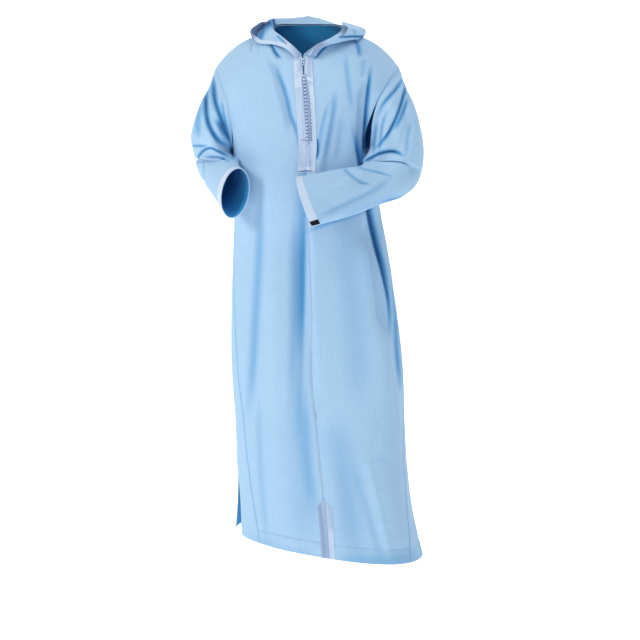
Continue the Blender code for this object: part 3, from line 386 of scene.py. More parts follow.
# Largest folds of the sleeves, as a share of the way from armhole to cuff and an angle
# in degrees, from 0 on the elbow side to 90 on the front.
SLEEVE_FOLDS_NAMES = "depth width length t1 a1 t2 a2"
LEFT_SLEEVE_FOLDS = table(
    SLEEVE_FOLDS_NAMES,
    [
        (-0.012, 0.030, 0.10, 0.12, 60, 0.40, 128),
        (-0.012, 0.026, 0.10, 0.10, 96, 0.42, 150),
        (-0.014, 0.022, 0.10, 0.42, 176, 0.46, 70),
        (-0.010, 0.028, 0.10, 0.56, 130, 0.90, 66),
        (-0.008, 0.030, 0.10, 0.20, -60, 0.50, -120),
    ],
)
RIGHT_SLEEVE_FOLDS = table(
    SLEEVE_FOLDS_NAMES,
    [
        (-0.014, 0.026, 0.10, 0.06, 44, 0.46, 110),
        (-0.014, 0.026, 0.10, 0.06, 78, 0.42, 132),
        (-0.012, 0.022, 0.10, 0.46, 20, 0.55, 130),
        (-0.010, 0.028, 0.10, 0.20, -50, 0.46, -120),
    ],
)

# Creases read from the photograph's frame in its pixels, and laid into the cloth where
# they fall. Each row is depth in mm (negative presses in), width in pixels on the -X
# and +X side, the strength of the shade painted into the colour from 0 to 1, and the line's points. Rows of
# depth 0 only paint shade.
BODY_CREASES = [
    (-3, 1.3, 1.3, 0.20, ((253.5, 42.5), (251.5, 47), (250, 53))),
    (-2, 1.3, 1.3, 0.12, ((258, 44), (258.5, 50), (259, 56))),
    (-7, 1.8, 1.8, 0.70, ((267, 38), (271.7, 45.7), (274.1, 50), (277, 54.6), (284, 59))),
    (3, 2.2, 2.2, 0, ((268.5, 46), (272.4, 54), (278, 70))),
    (-2, 2.0, 3.0, 0.12, ((266, 58), (275, 75), (281, 90))),
    (-5, 1.6, 2.6, 0.42, ((272, 56), (280, 78), (286, 96), (291, 117), (296, 130), (300, 156))),
    (3, 3.0, 3.0, 0, ((268, 74), (277, 96), (283, 117), (288, 140))),
    (-3, 2.0, 2.0, 0.16, ((276, 44), (287, 50.6), (299, 59))),
    (-4, 0.9, 1.1, 0.95, ((316.6, 136), (317.8, 147), (317.5, 153), (316.2, 162))),
    (-3, 1.4, 3.0, 0.28, ((317.4, 168), (319.4, 142), (324, 118), (331, 96))),
    (5, 2.0, 3.0, 0, ((312, 182), (322.6, 150), (328, 125), (334, 90))),
    (-4, 4.0, 3.0, 0.26, ((336, 84), (334, 112), (329, 136), (324, 168))),
    (-3, 3.0, 3.0, 0.24, ((344.6, 48), (348, 76), (350, 92), (354, 116))),
    (-3, 3.0, 5.0, 0.14, ((344, 110), (340, 136), (336, 168))),
    (-7, 1.3, 2.6, 1.00, ((371.5, 60), (367.5, 90), (365, 115), (363.5, 138), (362.5, 170))),
    (-4, 3.0, 2.0, 0.22, ((365, 56), (364.2, 66), (363, 80))),
    (3, 2.6, 2.0, 0, ((371.5, 46), (367.2, 64), (365, 80))),
    (-5, 8.0, 2.0, 0.34, ((307, 130), (304.8, 225), (303.8, 265), (302.8, 315), (300, 372))),
    (-4, 7.0, 3.0, 0.20, ((305, 190), (303.6, 280), (302.0, 350), (297, 460))),
    (-3, 5.0, 4.0, 0.16, ((295, 190), (294.5, 260), (294, 320), (290, 430))),
    (4, 1.6, 3.6, 0, ((309.8, 200), (310.5, 260), (311.5, 300), (313, 360))),
    (-5, 4.6, 4.6, 0.27, ((262, 170), (259.5, 250), (256, 315), (252, 380), (245, 440))),
    (3, 7.0, 7.0, 0, ((274, 190), (275, 340), (276, 420), (279, 560))),
    (-3, 3.6, 3.6, 0.14, ((259, 380), (260, 450), (263, 500), (270, 560))),
    (-3, 7.0, 6.0, 0.20, ((303, 370), (306, 440), (310, 480), (318, 530))),
    (-2, 14.0, 14.0, 0.12, ((296, 380), (298, 440), (302, 500), (310, 570))),
    # Painted shade along the hem, with no crease pressed.
    (0, 9.0, 9.0, 0.22, ((322, 566), (350, 562), (385, 562), (430, 552))),
    (0, 6.0, 6.0, 0.12, ((238, 526), (262, 542), (290, 553), (330, 560))),
    (-6, 1.6, 2.0, 1.00, ((350, 118), (363.5, 190), (368.0, 217), (374.6, 246), (381.6, 271),
                          (387.2, 296), (389.6, 350))),
    (-3, 1.8, 4.0, 0.95, ((352, 118), (364.5, 190), (369.2, 217), (375.8, 246), (382.8, 272), (389.0, 310))),
    (6, 3.0, 3.0, 0, ((376, 196), (382.5, 232), (390, 262), (394, 296))),
    (-7, 2.6, 3.2, 0.50, ((389.5, 268), (394.6, 306), (395.6, 340), (401, 400))),
    (3, 1.5, 1.3, 0, ((384.5, 290), (389.5, 347), (396, 392), (403, 456))),
    (-3, 2.0, 2.0, 0.16, ((379, 200), (381, 214), (384, 232))),
    # Painted shadow of the left forearm on the body just below it.
    (0, 2.8, 2.8, 0.36, ((300, 236), (322, 225), (350, 215.5), (380, 204))),
    (5, 4.0, 4.0, 0, ((364, 450), (376.6, 498), (384.5, 531), (397, 575))),
    (-3, 4.5, 4.5, 0.12, ((350, 450), (366, 505), (375, 535), (386, 575))),
    (-1.5, 2.4, 2.4, 0.08, ((366, 463), (380, 460), (395, 464))),
    (-4, 14.0, 14.0, 0.12, ((342, 190), (350, 270), (356, 330), (360, 430))),
    (-3, 13.0, 13.0, 0.17, ((332, 400), (344, 470), (352, 520), (358, 575))),
]
LEFT_SLEEVE_CREASES = [
    (-6, 1.3, 2.4, 0.60, ((409, 64), (402.8, 77), (394.8, 90), (382, 104.7), (375, 117),
                          (369.5, 130), (365, 150))),
    (-8, 1.3, 2.4, 0.80, ((403, 62), (405.7, 82), (401.6, 100), (396, 117), (388, 133), (368, 156))),
    (-6, 1.4, 2.4, 0.50, ((409, 94), (401, 117), (393, 133))),
    (3, 2.0, 2.0, 0, ((399, 92), (388, 110), (380, 132))),
    (-4, 1.4, 2.0, 0.46, ((377, 118), (374.5, 136), (372.5, 156))),
    (-4, 1.3, 1.8, 0.38, ((388, 106), (381, 131), (379.5, 158))),
    (-7, 1.8, 1.8, 0.90, ((359, 164), (368, 159.5), (380, 153.5), (392.5, 151.2), (408, 158))),
    (3, 1.8, 1.8, 0, ((372, 153), (384, 148), (397, 148))),
    (-4, 1.4, 1.6, 0.32, ((348, 160), (363.8, 169), (377.6, 172.3), (397, 178))),
    (-5, 1.6, 2.2, 0.34, ((338, 162), (350, 174.7), (359, 181.6), (376, 185.4))),
    (-5, 3.0, 4.0, 0.20, ((308, 221), (350, 202), (375, 190), (401, 170))),
    (-3, 5.0, 7.0, 0.16, ((330, 226), (360, 210), (385, 200), (410, 188))),
    (-3, 2.2, 2.2, 0.40, ((418, 189), (404, 196.6), (390, 200.5), (372, 210))),
    (3, 2.4, 2.4, 0, ((318, 200), (345, 184), (372, 178))),
    (-4, 2.4, 2.4, 0.20, ((412, 118), (408, 140), (406, 160))),
    (-3, 2.0, 3.4, 0.55, ((370, 84), (367.5, 104), (365.5, 128), (364, 160))),
]
RIGHT_SLEEVE_CREASES = [
    (-8, 2.4, 2.8, 0.88, ((211, 58), (205.7, 100), (209.2, 126), (218, 140), (238, 151))),
    (4, 1.2, 1.4, 0, ((211.4, 80), (212, 117.5), (218, 131), (228, 147))),
    (-8, 2.1, 3.0, 0.84, ((213, 66), (215.6, 104), (223, 123), (235, 147))),
    (-4, 1.1, 1.4, 0.50, ((221.5, 94), (225.0, 118), (231, 136))),
    (2, 1.2, 1.2, 0, ((225, 104), (227, 120), (231, 134))),
    (-4, 2.8, 3.2, 0.74, ((215, 116), (226.5, 135), (236, 146))),
    (-5, 1.4, 1.5, 0.46, ((187, 145), (198, 145.8), (209.5, 145.6))),
    (-5, 1.3, 1.5, 0.75, ((194.6, 167), (202, 152), (209, 148), (219.5, 152), (234, 160.5))),
    (-5, 1.2, 1.3, 0.42, ((202, 156.4), (212, 157), (221.8, 158), (233, 163.5))),
    (-3, 1.1, 1.3, 0.24, ((204.6, 158), (203.6, 172), (204, 188))),
    (-3, 2.2, 3.0, 0.95, ((229.5, 122), (232.4, 144), (233.6, 163))),
    (-3, 3.5, 3.5, 0.34, ((201, 96), (198, 120), (199, 142))),
]
HOOD_CREASES = [
    (-3, 1.4, 1.6, 0.5, ((355, 30), (356.5, 37), (357, 44))),
]

# Shade that a flat light leaves out of narrow hollows, from the same frame. Each row is
# its strength, its width in pixels on the -X and +X side, and the line's points.
HOOD_SHADES = [
    (1.00, 5.4, 5.4, ((251, 44), (256.5, 33), (261.5, 27.5), (274, 19))),
    (0.75, 3.0, 3.0, ((253, 47), (259.5, 38.5), (262.6, 32), (267, 22))),
    (1.00, 1.6, 1.6, ((272.5, 14), (273.5, 22), (277.5, 32))),
    (0.50, 1.2, 1.2, ((276, 35), (281.5, 40), (287, 44.2))),
    (0.95, 1.1, 1.1, ((336, 37.6), (354.7, 36.3), (372, 37.4))),
    (0.26, 1.8, 2.0, ((353.4, 28), (354.7, 35), (356, 42))),
]
HOOD_BRAID_SHADES = [
    (1.00, 7.0, 7.0, ((248, 42), (251.5, 33), (255.5, 26.5), (261, 22.5), (268, 20), (286, 12))),
    (0.62, 14.0, 14.0, ((296, 66), (311, 51), (322, 41), (340, 26))),
    (0.55, 1.0, 1.0, ((275, 34.5), (281.5, 40), (288, 46))),
]
SHOULDER_SHADES = [
    (0.52, 2.0, 2.6, ((352.4, 18), (354.6, 36), (356.6, 43), (358.3, 49), (359.8, 60))),
    (0.30, 1.2, 3.4, ((302, 55), (290, 49), (272, 46), (254, 43))),
    (0.85, 1.3, 1.3, ((328, 44), (320.8, 51.8), (313.5, 60))),
]
PLACKET_SHADES = [
    (0.78, 2.4, 2.4, ((304.2, 66), (304.6, 84), (306, 104), (307.4, 122), (308.4, 134), (308.6, 152))),
    (0.34, 1.8, 1.8, ((308.6, 128), (309.2, 150), (309.2, 186))),
    (0.30, 0.9, 0.9, ((301.8, 84), (302.3, 108), (303.2, 134), (304.4, 152))),
    (0.55, 1.0, 1.0, ((299, 139.8), (305.5, 140), (314, 139))),
    (0.85, 0.9, 0.9, ((294, 170.8), (305, 171.0), (318, 170.4))),
    (0.22, 0.9, 0.9, ((286, 91.2), (298, 91.2), (308, 91.2))),
    (0.18, 0.8, 0.8, ((300, 83.8), (308.5, 83.8), (319, 83.8))),
    (0.80, 1.0, 1.0, ((318.4, 128), (319.6, 148), (317.2, 170))),
    (0.24, 3.0, 3.0, ((311, 46), (309.6, 60), (309.2, 74), (310, 90))),
    (0.22, 2.6, 2.6, ((292, 50), (298.4, 60), (299.6, 76))),
    (1.00, 1.2, 1.2, ((303.6, 54), (303.9, 68), (303.4, 82))),
    (0.16, 4.0, 4.0, ((297, 60), (299, 110), (303, 190))),
]
FACING_SHADES = [
    (0.62, 4.6, 4.0, ((317, 484), (321.6, 520), (326.5, 572))),
    (0.66, 0.7, 0.7, ((324, 488), (327.4, 530), (330.4, 574))),
    (0.30, 4.0, 4.0, ((327, 484), (330.5, 512), (333, 536))),
    (1.00, 1.0, 1.0, ((331, 492), (335, 520), (337.4, 540), (342, 572))),
]


def smooth(xs, ys, at):
    """Cubic curve through a table's rows, read at the given places."""
    order = np.argsort(xs)
    xs = xs[order]
    ys = ys[order]
    slopes = np.gradient(ys, xs)
    at = np.asarray(at, dtype=float)
    i = np.clip(np.searchsorted(xs, at) - 1, 0, len(xs) - 2)
    h = xs[i + 1] - xs[i]
    t = (at - xs[i]) / h
    ease = t * t * (3 - 2 * t)
    start = (t - 2 * t * t + t ** 3) * h * slopes[i]
    end = (t ** 3 - t * t) * h * slopes[i + 1]
    return ys[i] * (1 - ease) + ys[i + 1] * ease + start + end


def path(points, at):
    """Smooth path through points, read at shares of its length."""
    points = np.asarray(points, dtype=float)
    steps = np.linalg.norm(np.diff(points, axis=0), axis=1)
    along = np.concatenate([[0.0], np.cumsum(steps)])
    along /= along[-1]
    return np.stack([smooth(along, points[:, k], at) for k in range(points.shape[1])], axis=-1)


def read_at(marks, along, points):
    """Points between the given ones, in straight steps, at marks along them."""
    return np.stack([np.interp(marks, along, points[:, k]) for k in range(3)], axis=-1)


def points_of(rows, prefix=""):
    """Points that a table gives in its x, y and z columns."""
    return np.stack([rows[prefix + k] for k in "xyz"], axis=-1)


def ease(t):
    """Soft step from 0 to 1."""
    t = np.clip(t, 0, 1)
    return t * t * (3 - 2 * t)


def unit(vectors):
    """Vectors of length 1."""
    return vectors / np.maximum(np.linalg.norm(vectors, axis=-1, keepdims=True), 1e-12)


def spread(net, rows, columns):
    """Read a net of points as a smooth sheet at row and column places from 0 to 1."""
    count_r, count_c = net.shape[:2]
    places_r = np.linspace(0, 1, count_r)
    places_c = np.linspace(0, 1, count_c)
    down = np.empty((len(rows), count_c, 3))
    for c in range(count_c):
        for k in range(3):
            down[:, c, k] = smooth(places_r, net[:, c, k], rows)
    sheet = np.empty((len(rows), len(columns), 3))
    for r in range(len(rows)):
        for k in range(3):
            sheet[r, :, k] = smooth(places_c, down[r, :, k], columns)
    return sheet


def ring(z, degrees):
    """Point of the body's section at a height and an angle from the front."""
    row = {name: smooth(BODY["height"], BODY[name], z)
           for name in BODY if name[:4] not in ("seam", "gore", "side")}
    turn = np.radians(row["turn"])
    angle = np.radians(degrees)
    power = 2.0 / BODY_ROUNDNESS
    across = np.sign(np.sin(angle)) * np.abs(np.sin(angle)) ** power
    ahead = np.sign(np.cos(angle)) * np.abs(np.cos(angle)) ** power
    across = across * np.where(across > 0, row["left"], row["right"])
    ahead = ahead * np.where(ahead > 0, row["front"], row["back"])
    x = row["centre_x"] + across * np.cos(turn) - ahead * np.sin(turn)
    y = row["centre_y"] - across * np.sin(turn) - ahead * np.cos(turn)
    dip = np.clip((HEM_TILT_TOP - z) / (HEM_TILT_TOP - HEM_Z), 0, 1) ** 2
    height = z - HEM_TILT * dip * np.sin(angle - np.radians(HEM_TILT_TURN))
    return np.stack([x, y, np.broadcast_to(height, np.shape(x))], axis=-1)


def seam_angle(name, z):
    """Angle in degrees of a seam at a height."""
    if name == "back":
        return np.full(np.shape(z), 180.0)
    return smooth(BODY["height"], BODY[name], z)


def armhole(side):
    """Closed armhole edge, from the front of the underarm over the shoulder."""
    x = ARMHOLE[side + "_x"]
    under_front = ring(CHEST_Z, seam_angle("gore_" + side, CHEST_Z))
    under_back = ring(CHEST_Z, seam_angle("side_" + side, CHEST_Z))
    middle = np.stack([x, ARMHOLE["y"], ARMHOLE["z"]], axis=-1)
    return np.vstack([under_front[None], middle, under_back[None]])


def neck_edge(side):
    """Half of the neck edge, from the bottom of the V to the nape."""
    return np.stack([NECK[side + "_x"], NECK["y"], NECK["z"]], axis=-1)


def shoulder_line(side, at):
    """Ridge of the shoulder from the neck edge to the top of the armhole."""
    start = neck_edge(side)[NECK_SHOULDER]
    end = armhole(side)[ARMHOLE_TOP + 1]
    line = start + (end - start) * at[:, None]
    line[:, 2] += smooth(SHOULDER["share"], SHOULDER["rise"], at)
    return line


def chest_start(side, half):
    """Angle at which a front or back panel starts on the chest line."""
    if half == "front":
        return seam_angle("seam_front", CHEST_Z)
    return 180.0 if side == "left" else -180.0


def chest_end(side, half):
    """Angle at which a front or back panel ends on the chest line."""
    name = "gore_" if half == "front" else "side_"
    return seam_angle(name + side, CHEST_Z)


def inner_edge(side, half, at):
    """Centre front and neck edge, or centre back and neck edge, from the chest up."""
    neck = neck_edge(side)
    if half == "front":
        sign = 1 if side == "left" else -1
        x = PLACKET["x"] + sign * PLACKET["half_opening"]
        lower = np.stack([x, PLACKET["y"], PLACKET["z"]], axis=-1)
        upper = neck[:NECK_SHOULDER + 1]
        split = 0.5
    else:
        lower = np.vstack([points_of(SPINE), neck[-1:]])
        upper = neck[:NECK_SHOULDER - 1:-1]
        split = 0.7
    lower = np.vstack([ring(CHEST_Z, chest_start(side, half))[None], lower[1:]])
    low = path(lower, np.clip(at / split, 0, 1))
    high = path(upper, np.clip((at - split) / (1 - split), 0, 1))
    return np.where((at <= split)[:, None], low, high)


def outer_edge(side, half, at):
    """Front or back half of the armhole, from the chest up to the shoulder."""
    edge = armhole(side)
    if half == "front":
        return path(edge[:ARMHOLE_TOP + 2], at)
    return path(edge[:ARMHOLE_TOP:-1], at)


def yoke_net(side, half):
    """Net over the chest and shoulder, blended between its four edges."""
    v = np.linspace(0, 1, YOKE_NET_ROWS)
    u = np.linspace(0, 1, NET_COLUMNS)
    angles = chest_start(side, half) + (chest_end(side, half) - chest_start(side, half)) * u
    bottom = ring(CHEST_Z, angles)
    top = shoulder_line(side, u)
    inner = inner_edge(side, half, v)
    outer = outer_edge(side, half, v)
    vv = v[:, None, None]
    uu = u[None, :, None]
    net = (1 - vv) * bottom[None] + vv * top[None] + (1 - uu) * inner[:, None] + uu * outer[:, None]
    net -= (1 - uu) * (1 - vv) * bottom[0] + uu * (1 - vv) * bottom[-1]
    net -= (1 - uu) * vv * top[0] + uu * vv * top[-1]
    return net


def skirt_net(start, end, side):
    """Net below the chest between two seams."""
    heights = np.linspace(HEM_Z, CHEST_Z, SKIRT_NET_ROWS)
    u = np.linspace(0, 1, NET_COLUMNS)
    first = seam_angle(start, heights)
    last = seam_angle(end, heights)
    if start == "back" and side == "right":
        first = -first
    angles = first[:, None] + (last - first)[:, None] * u
    return ring(heights[:, None] + 0 * angles, angles)


def body_net(side, half):
    """One net from hem to shoulder, eased where the chest meets the yoke."""
    start = "seam_front" if half == "front" else "back"
    end = ("gore_" if half == "front" else "side_") + side
    net = np.concatenate([skirt_net(start, end, side), yoke_net(side, half)[1:]])
    joint = SKIRT_NET_ROWS - 1
    for _ in range(4):
        middle = (net[joint - 2:joint + 3, 1:-1] + 0.5 * net[joint - 3:joint + 2, 1:-1]
                  + 0.5 * net[joint - 1:joint + 4, 1:-1]) / 2
        net[joint - 2:joint + 3, 1:-1] = middle
    return net


def body_rows():
    """Row places of a body panel from hem to shoulder."""
    low = np.linspace(0, CHEST_SHARE, SKIRT_ROWS + 1)
    return np.concatenate([low, np.linspace(CHEST_SHARE, 1, YOKE_ROWS + 1)[1:]])


def skirt_heights():
    """Heights of a panel's rows below the chest."""
    return HEM_Z + (CHEST_Z - HEM_Z) * np.linspace(0, 1, SKIRT_ROWS + 1)


def skirt_row(z):
    """Row of a panel that is nearest to a height below the chest."""
    return int(round((z - HEM_Z) / (CHEST_Z - HEM_Z) * SKIRT_ROWS))


def near_line(x, z, curve, width_a, width_b, fade):
    """Strength near a line: widths on its two sides, soft at its ends."""
    best = np.full(x.shape, 1e9)
    strength = np.zeros(x.shape)
    for i in range(len(curve) - 1):
        start = curve[i]
        run = curve[i + 1] - start
        t = np.clip(((x - start[0]) * run[0] + (z - start[1]) * run[1]) / (run @ run), 0, 1)
        dx = x - start[0] - t * run[0]
        dz = z - start[1] - t * run[1]
        gap = np.hypot(dx, dz)
        width = np.where(dx < 0, width_a, width_b)
        along = (i + t) / (len(curve) - 1)
        ends = ease(np.minimum(along, 1 - along) / fade)
        value = np.exp(-(gap / width) ** 2) * ends
        nearer = gap < best
        strength = np.where(nearer, value, strength)
        best = np.where(nearer, gap, best)
    return strength


def body_out(sheet):
    """Direction square to the body's own axis, level."""
    centre_x = smooth(BODY["height"], BODY["centre_x"], np.maximum(sheet[..., 2], HEM_Z))
    return unit(np.stack([sheet[..., 0] - centre_x, sheet[..., 1] + 0.02, 0 * centre_x], axis=-1))


def fold_body(sheet):
    """Push a body sheet in or out along the largest folds, as in the solids."""
    out = body_out(sheet)
    push = np.zeros(sheet.shape[:2])
    for row in zip(*BODY_FOLDS.values()):
        face, depth, width_a, width_b = row[:4]
        curve = path(np.array(row[4:]).reshape(3, 2), np.linspace(0, 1, 13))
        facing = np.clip(-face * out[..., 1] * 3.0 + 0.4, 0, 1)
        push += depth * facing * near_line(sheet[..., 0], sheet[..., 2], curve, width_a, width_b, FOLD_FADE)
    return sheet + out * push[..., None]


def photo_place(points):
    """Where points fall in the photograph's frame, in its pixels."""
    dip = math.radians(CAMERA_DIP)
    away = points - np.array(CAMERA_PLACE)
    depth = away[..., 1] * math.cos(dip) - away[..., 2] * math.sin(dip)
    up = away[..., 1] * math.sin(dip) + away[..., 2] * math.cos(dip)
    half = FRAME_PIXELS / 2
    return half + FOCAL_PIXELS * away[..., 0] / depth, half - FOCAL_PIXELS * up / depth


def stroke(x, y, width_a, width_b, points, fade):
    """Strength of one stroke, worked out only for the points that lie near it."""
    curve = path(points, np.linspace(0, 1, 4 * len(points) + 1))
    margin = 3 * max(width_a, width_b)
    low, high = curve.min(axis=0) - margin, curve.max(axis=0) + margin
    near = (x > low[0]) & (x < high[0]) & (y > low[1]) & (y < high[1])
    strength = np.zeros(x.shape)
    strength[near] = near_line(x[near], y[near], curve, width_a, width_b, fade)
    return strength


def shade(sheet, rows):
    """How deep in shade each point lies, from a table of strokes."""
    x, y = photo_place(sheet)
    deep = np.zeros(sheet.shape[:2])
    for amount, width_a, width_b, points in rows:
        deep = np.maximum(deep, amount * stroke(x, y, width_a, width_b, points, SHADE_FADE))
    return deep


def crease(sheet, out, rows, free=1.0):
    """Press a table of creases into a sheet; also gives how deep in shade each point lies."""
    facing = ease((0.10 - out[..., 1]) / 0.12)
    push = np.zeros(sheet.shape[:2])
    # Pressing moves a point in the frame, so the strokes are read again where it lands.
    for _ in range(3):
        x, y = photo_place(sheet + out * push[..., None])
        before = push
        push = np.zeros(before.shape)
        deep = np.zeros(before.shape)
        for depth, width_a, width_b, dark, points in rows:
            strength = stroke(x, y, width_a, width_b, points, CREASE_FADE) * facing
            push += MM * depth * strength * free
            # Each crease paints shade into the colour, as strong as its row's shade strength.
            deep = 1 - (1 - deep) * (1 - dark * strength)
        push = (before + 2 * push) / 3
    return sheet + out * push[..., None], deep


def sleeve_rings(side):
    """Rings of a sleeve, the armhole first, each read at the same angles."""
    rows = SLEEVE_LEFT if side == "left" else SLEEVE_RIGHT
    inner = points_of(rows, "inner_")
    outer = points_of(rows, "outer_")
    middle = (inner + outer) / 2
    angles = np.radians(np.arange(SLEEVE_SIDES) * 360.0 / SLEEVE_SIDES)
    edge = armhole(side)
    closed = np.vstack([edge[ARMHOLE_TOP + 1:0:-1], edge[:1], edge[:ARMHOLE_TOP:-1]])
    rings = [path(closed, np.arange(SLEEVE_SIDES) / SLEEVE_SIDES)]
    travel = np.gradient(middle, axis=0)
    for k in range(len(middle)):
        across = outer[k] - middle[k]
        ahead = np.cross(travel[k], across)
        ahead *= math.copysign(1 / np.linalg.norm(ahead), -ahead[1])
        reach = np.sin(angles) * np.where(np.sin(angles) > 0, rows["front"][k], rows["back"][k])
        lead = np.sin(angles) * rows["lead"][k] / np.linalg.norm(travel[k])
        flat = middle[k] + np.cos(angles)[:, None] * across + reach[:, None] * ahead
        rings.append(flat + lead[:, None] * travel[k])
    return np.array(rings)


def clear_of_body(sheet):
    """Push the points of a sleeve out of the body where the two come near."""
    low = np.minimum(sheet[..., 2], CHEST_Z)
    centre = np.stack([smooth(BODY["height"], BODY["centre_" + k], low) for k in "xy"], axis=-1)
    away = sheet[..., :2] - centre
    reach = np.linalg.norm(away, axis=-1)
    need = reach.copy()
    turns = np.linspace(-180.0, 180.0, 121)
    start = CHEST_Z + SLEEVE_CLEAR_ABOVE_CHEST
    near = sheet[..., 2] < start
    edge = ring(low[near][:, None] + 0 * turns, turns + 0 * low[near][:, None])[..., :2]
    edge -= centre[near][:, None]
    bearing = np.arctan2(edge[..., 0], -edge[..., 1])
    aim = np.arctan2(away[near][..., 0], -away[near][..., 1])
    high, deep = SLEEVE_CLEAR
    clear = high + (deep - high) * ease((SLEEVE_CLEAR_Z - sheet[near][:, 2]) / SLEEVE_CLEAR_EASE)
    need[near] = clear + [np.interp(a, b, np.linalg.norm(e, axis=-1), period=2 * math.pi)
                          for a, b, e in zip(aim, bearing, edge)]
    share = np.clip((start - sheet[..., 2]) / SLEEVE_CLEAR_ABOVE_CHEST, 0, 1)
    moved = sheet.copy()
    moved[..., :2] = centre + away * (1 + np.maximum(need - reach, 0) / reach * share)[..., None]
    return moved


def sleeve_sheet(side, places):
    """Sleeve read at shares of its length, with the folds of its solid."""
    rings = sleeve_rings(side)
    marks = np.linspace(0, 1, len(rings))
    sheet = np.empty((len(places), SLEEVE_SIDES, 3))
    for a in range(SLEEVE_SIDES):
        for k in range(3):
            sheet[:, a, k] = smooth(marks, rings[:, a, k], places)
    middle = sheet.mean(axis=1, keepdims=True)
    reach = np.linalg.norm(sheet - middle, axis=-1)
    folds = LEFT_SLEEVE_FOLDS if side == "left" else RIGHT_SLEEVE_FOLDS
    angle = np.arange(SLEEVE_SIDES)[None, :] * 360.0 / SLEEVE_SIDES
    push = np.zeros(reach.shape)
    for depth, width, length, t1, a1, t2, a2 in zip(*folds.values()):
        share = np.clip((places[:, None] - t1) / (t2 - t1), 0, 1)
        aim = a1 + (a2 - a1) * share
        turn = (angle - aim + 180.0) % 360.0 - 180.0
        gap = np.radians(turn) * reach
        past = np.maximum(0, np.maximum(t1 - places, places - t2))[:, None]
        push += depth * np.exp(-(gap / width) ** 2 - (past / length) ** 2)
    start = np.clip(places / 0.12, 0, 1)[:, None]
    end = np.clip((1 - places) / 0.10, 0, 1)[:, None]
    sheet = sheet + (sheet - middle) / reach[..., None] * (push * start * end)[..., None]
    sheet[1:] = clear_of_body(sheet)[1:]
    return sheet


# Cloth meshes

def normals_of(sheet, closed=False):
    """Unit normals of a grid of points, from its row and column directions."""
    if closed:
        across = np.roll(sheet, -1, axis=1) - np.roll(sheet, 1, axis=1)
    else:
        across = np.gradient(sheet, axis=1)
    return unit(np.cross(across, np.gradient(sheet, axis=0)))


def running(sheet, axis):
    """Distance along a grid's rows or columns from their start."""
    steps = np.linalg.norm(np.diff(sheet, axis=axis), axis=-1)
    pad = [(1, 0), (0, 0)] if axis == 0 else [(0, 0), (1, 0)]
    return np.pad(np.cumsum(steps, axis=axis), pad)


def weave_places(sheet, closed=False):
    """Metres across and along the cloth, so a weave keeps its real scale."""
    if closed:
        sheet = np.concatenate([sheet, sheet[:, :1]], axis=1)
    across = running(sheet, 1)
    along = running(sheet.mean(axis=1, keepdims=True), 0)
    return np.stack([across, np.broadcast_to(along, across.shape)], axis=-1)


def grid_faces(rows, columns, closed=False):
    """Corner numbers of a grid's faces, and their places in a grid one column wider."""
    faces = []
    corners = []
    wide = columns + 1 if closed else columns
    for r in range(rows - 1):
        for c in range(columns if closed else columns - 1):
            d = (c + 1) % columns
            faces.append((r * columns + c, r * columns + d, (r + 1) * columns + d, (r + 1) * columns + c))
            corners.append((r * wide + c, r * wide + c + 1, (r + 1) * wide + c + 1, (r + 1) * wide + c))
    return np.array(faces), np.array(corners)


class Cloth:
    """Grids of one piece of cloth, gathered and then made into a thin wall."""

    def __init__(self):
        self.points, self.out, self.deep, self.faces, self.places = [], [], [], [], []
        self.count = 0

    def add(self, sheet, out, deep=None, closed=False):
        """Add a grid of points, wound so that its faces look out."""
        rows, columns = sheet.shape[:2]
        faces, corners = grid_faces(rows, columns, closed)
        if (normals_of(sheet, closed) * out).sum() < 0:
            faces, corners = faces[:, ::-1], corners[:, ::-1]
        self.points.append(sheet.reshape(-1, 3))
        self.out.append(np.broadcast_to(out, sheet.shape).reshape(-1, 3))
        self.deep.append(np.zeros(rows * columns) if deep is None else deep.reshape(-1))
        self.faces.append(faces + self.count)
        self.places.append(weave_places(sheet, closed).reshape(-1, 2)[corners])
        self.count += rows * columns

    def welded(self):
        """Points that lie on each other become one."""
        points = np.concatenate(self.points)
        _, first, same = np.unique(np.round(points, 6), axis=0, return_index=True, return_inverse=True)
        same = same.reshape(-1)
        out = np.zeros((len(first), 3))
        np.add.at(out, same, np.concatenate(self.out))
        return points[first], unit(out), np.concatenate(self.deep)[first], same[np.concatenate(self.faces)]

    def make(self, name, looks, thickness=SCENE_WALL, lift=0.0, near_side=False):
        """Wall about the grids: the right side takes the first look, the wrong side the second.

        near_side leaves the shade only on the face that the photograph shows.
        """
        points, out, deep, faces = self.welded()
        places = np.concatenate(self.places)
        count = len(points)
        right = points + out * (lift + thickness / 2)
        wrong = points + out * (lift - thickness / 2)
        starts = faces.reshape(-1)
        ends = np.roll(faces, -1, axis=1).reshape(-1)
        keys = starts * count + ends
        open_edge = ~np.isin(keys, ends * count + starts)
        a, b = starts[open_edge], ends[open_edge]
        rim = np.stack([b, a, count + a, count + b], axis=1)
        place_a = places.reshape(-1, 2)[open_edge]
        place_b = np.roll(places, -1, axis=1).reshape(-1, 2)[open_edge]
        rim_places = np.stack([place_b, place_a, place_a, place_b], axis=1)
        solid = np.concatenate([faces, count + faces[:, ::-1], rim])
        spots = np.concatenate([places, places[:, ::-1], rim_places])
        mesh = bpy.data.meshes.new(name)
        mesh.from_pydata(np.concatenate([right, wrong]).tolist(), [], solid.tolist())
        mesh.uv_layers.new(name="weave").data.foreach_set("uv", spots.reshape(-1).astype(np.float32))
        # The crease attribute holds how much painted shade each point takes, on each face of the wall.
        depth = mesh.attributes.new("crease", "FLOAT", "POINT")
        seen = ((CAMERA_PLACE - points) * out).sum(axis=1) > 0
        faces_deep = (deep * seen, deep * ~seen) if near_side else (deep, deep)
        depth.data.foreach_set("value", np.concatenate(faces_deep).astype(np.float32))
        slots = np.zeros(len(solid), dtype=np.int32)
        slots[len(faces):2 * len(faces)] = 1 if len(looks) > 1 else 0
        for look in looks:
            mesh.materials.append(look)
        mesh.polygons.foreach_set("material_index", slots)
        mesh.shade_smooth()
        mesh.set_sharp_from_angle(angle=math.radians(62))
        return link(name, mesh)


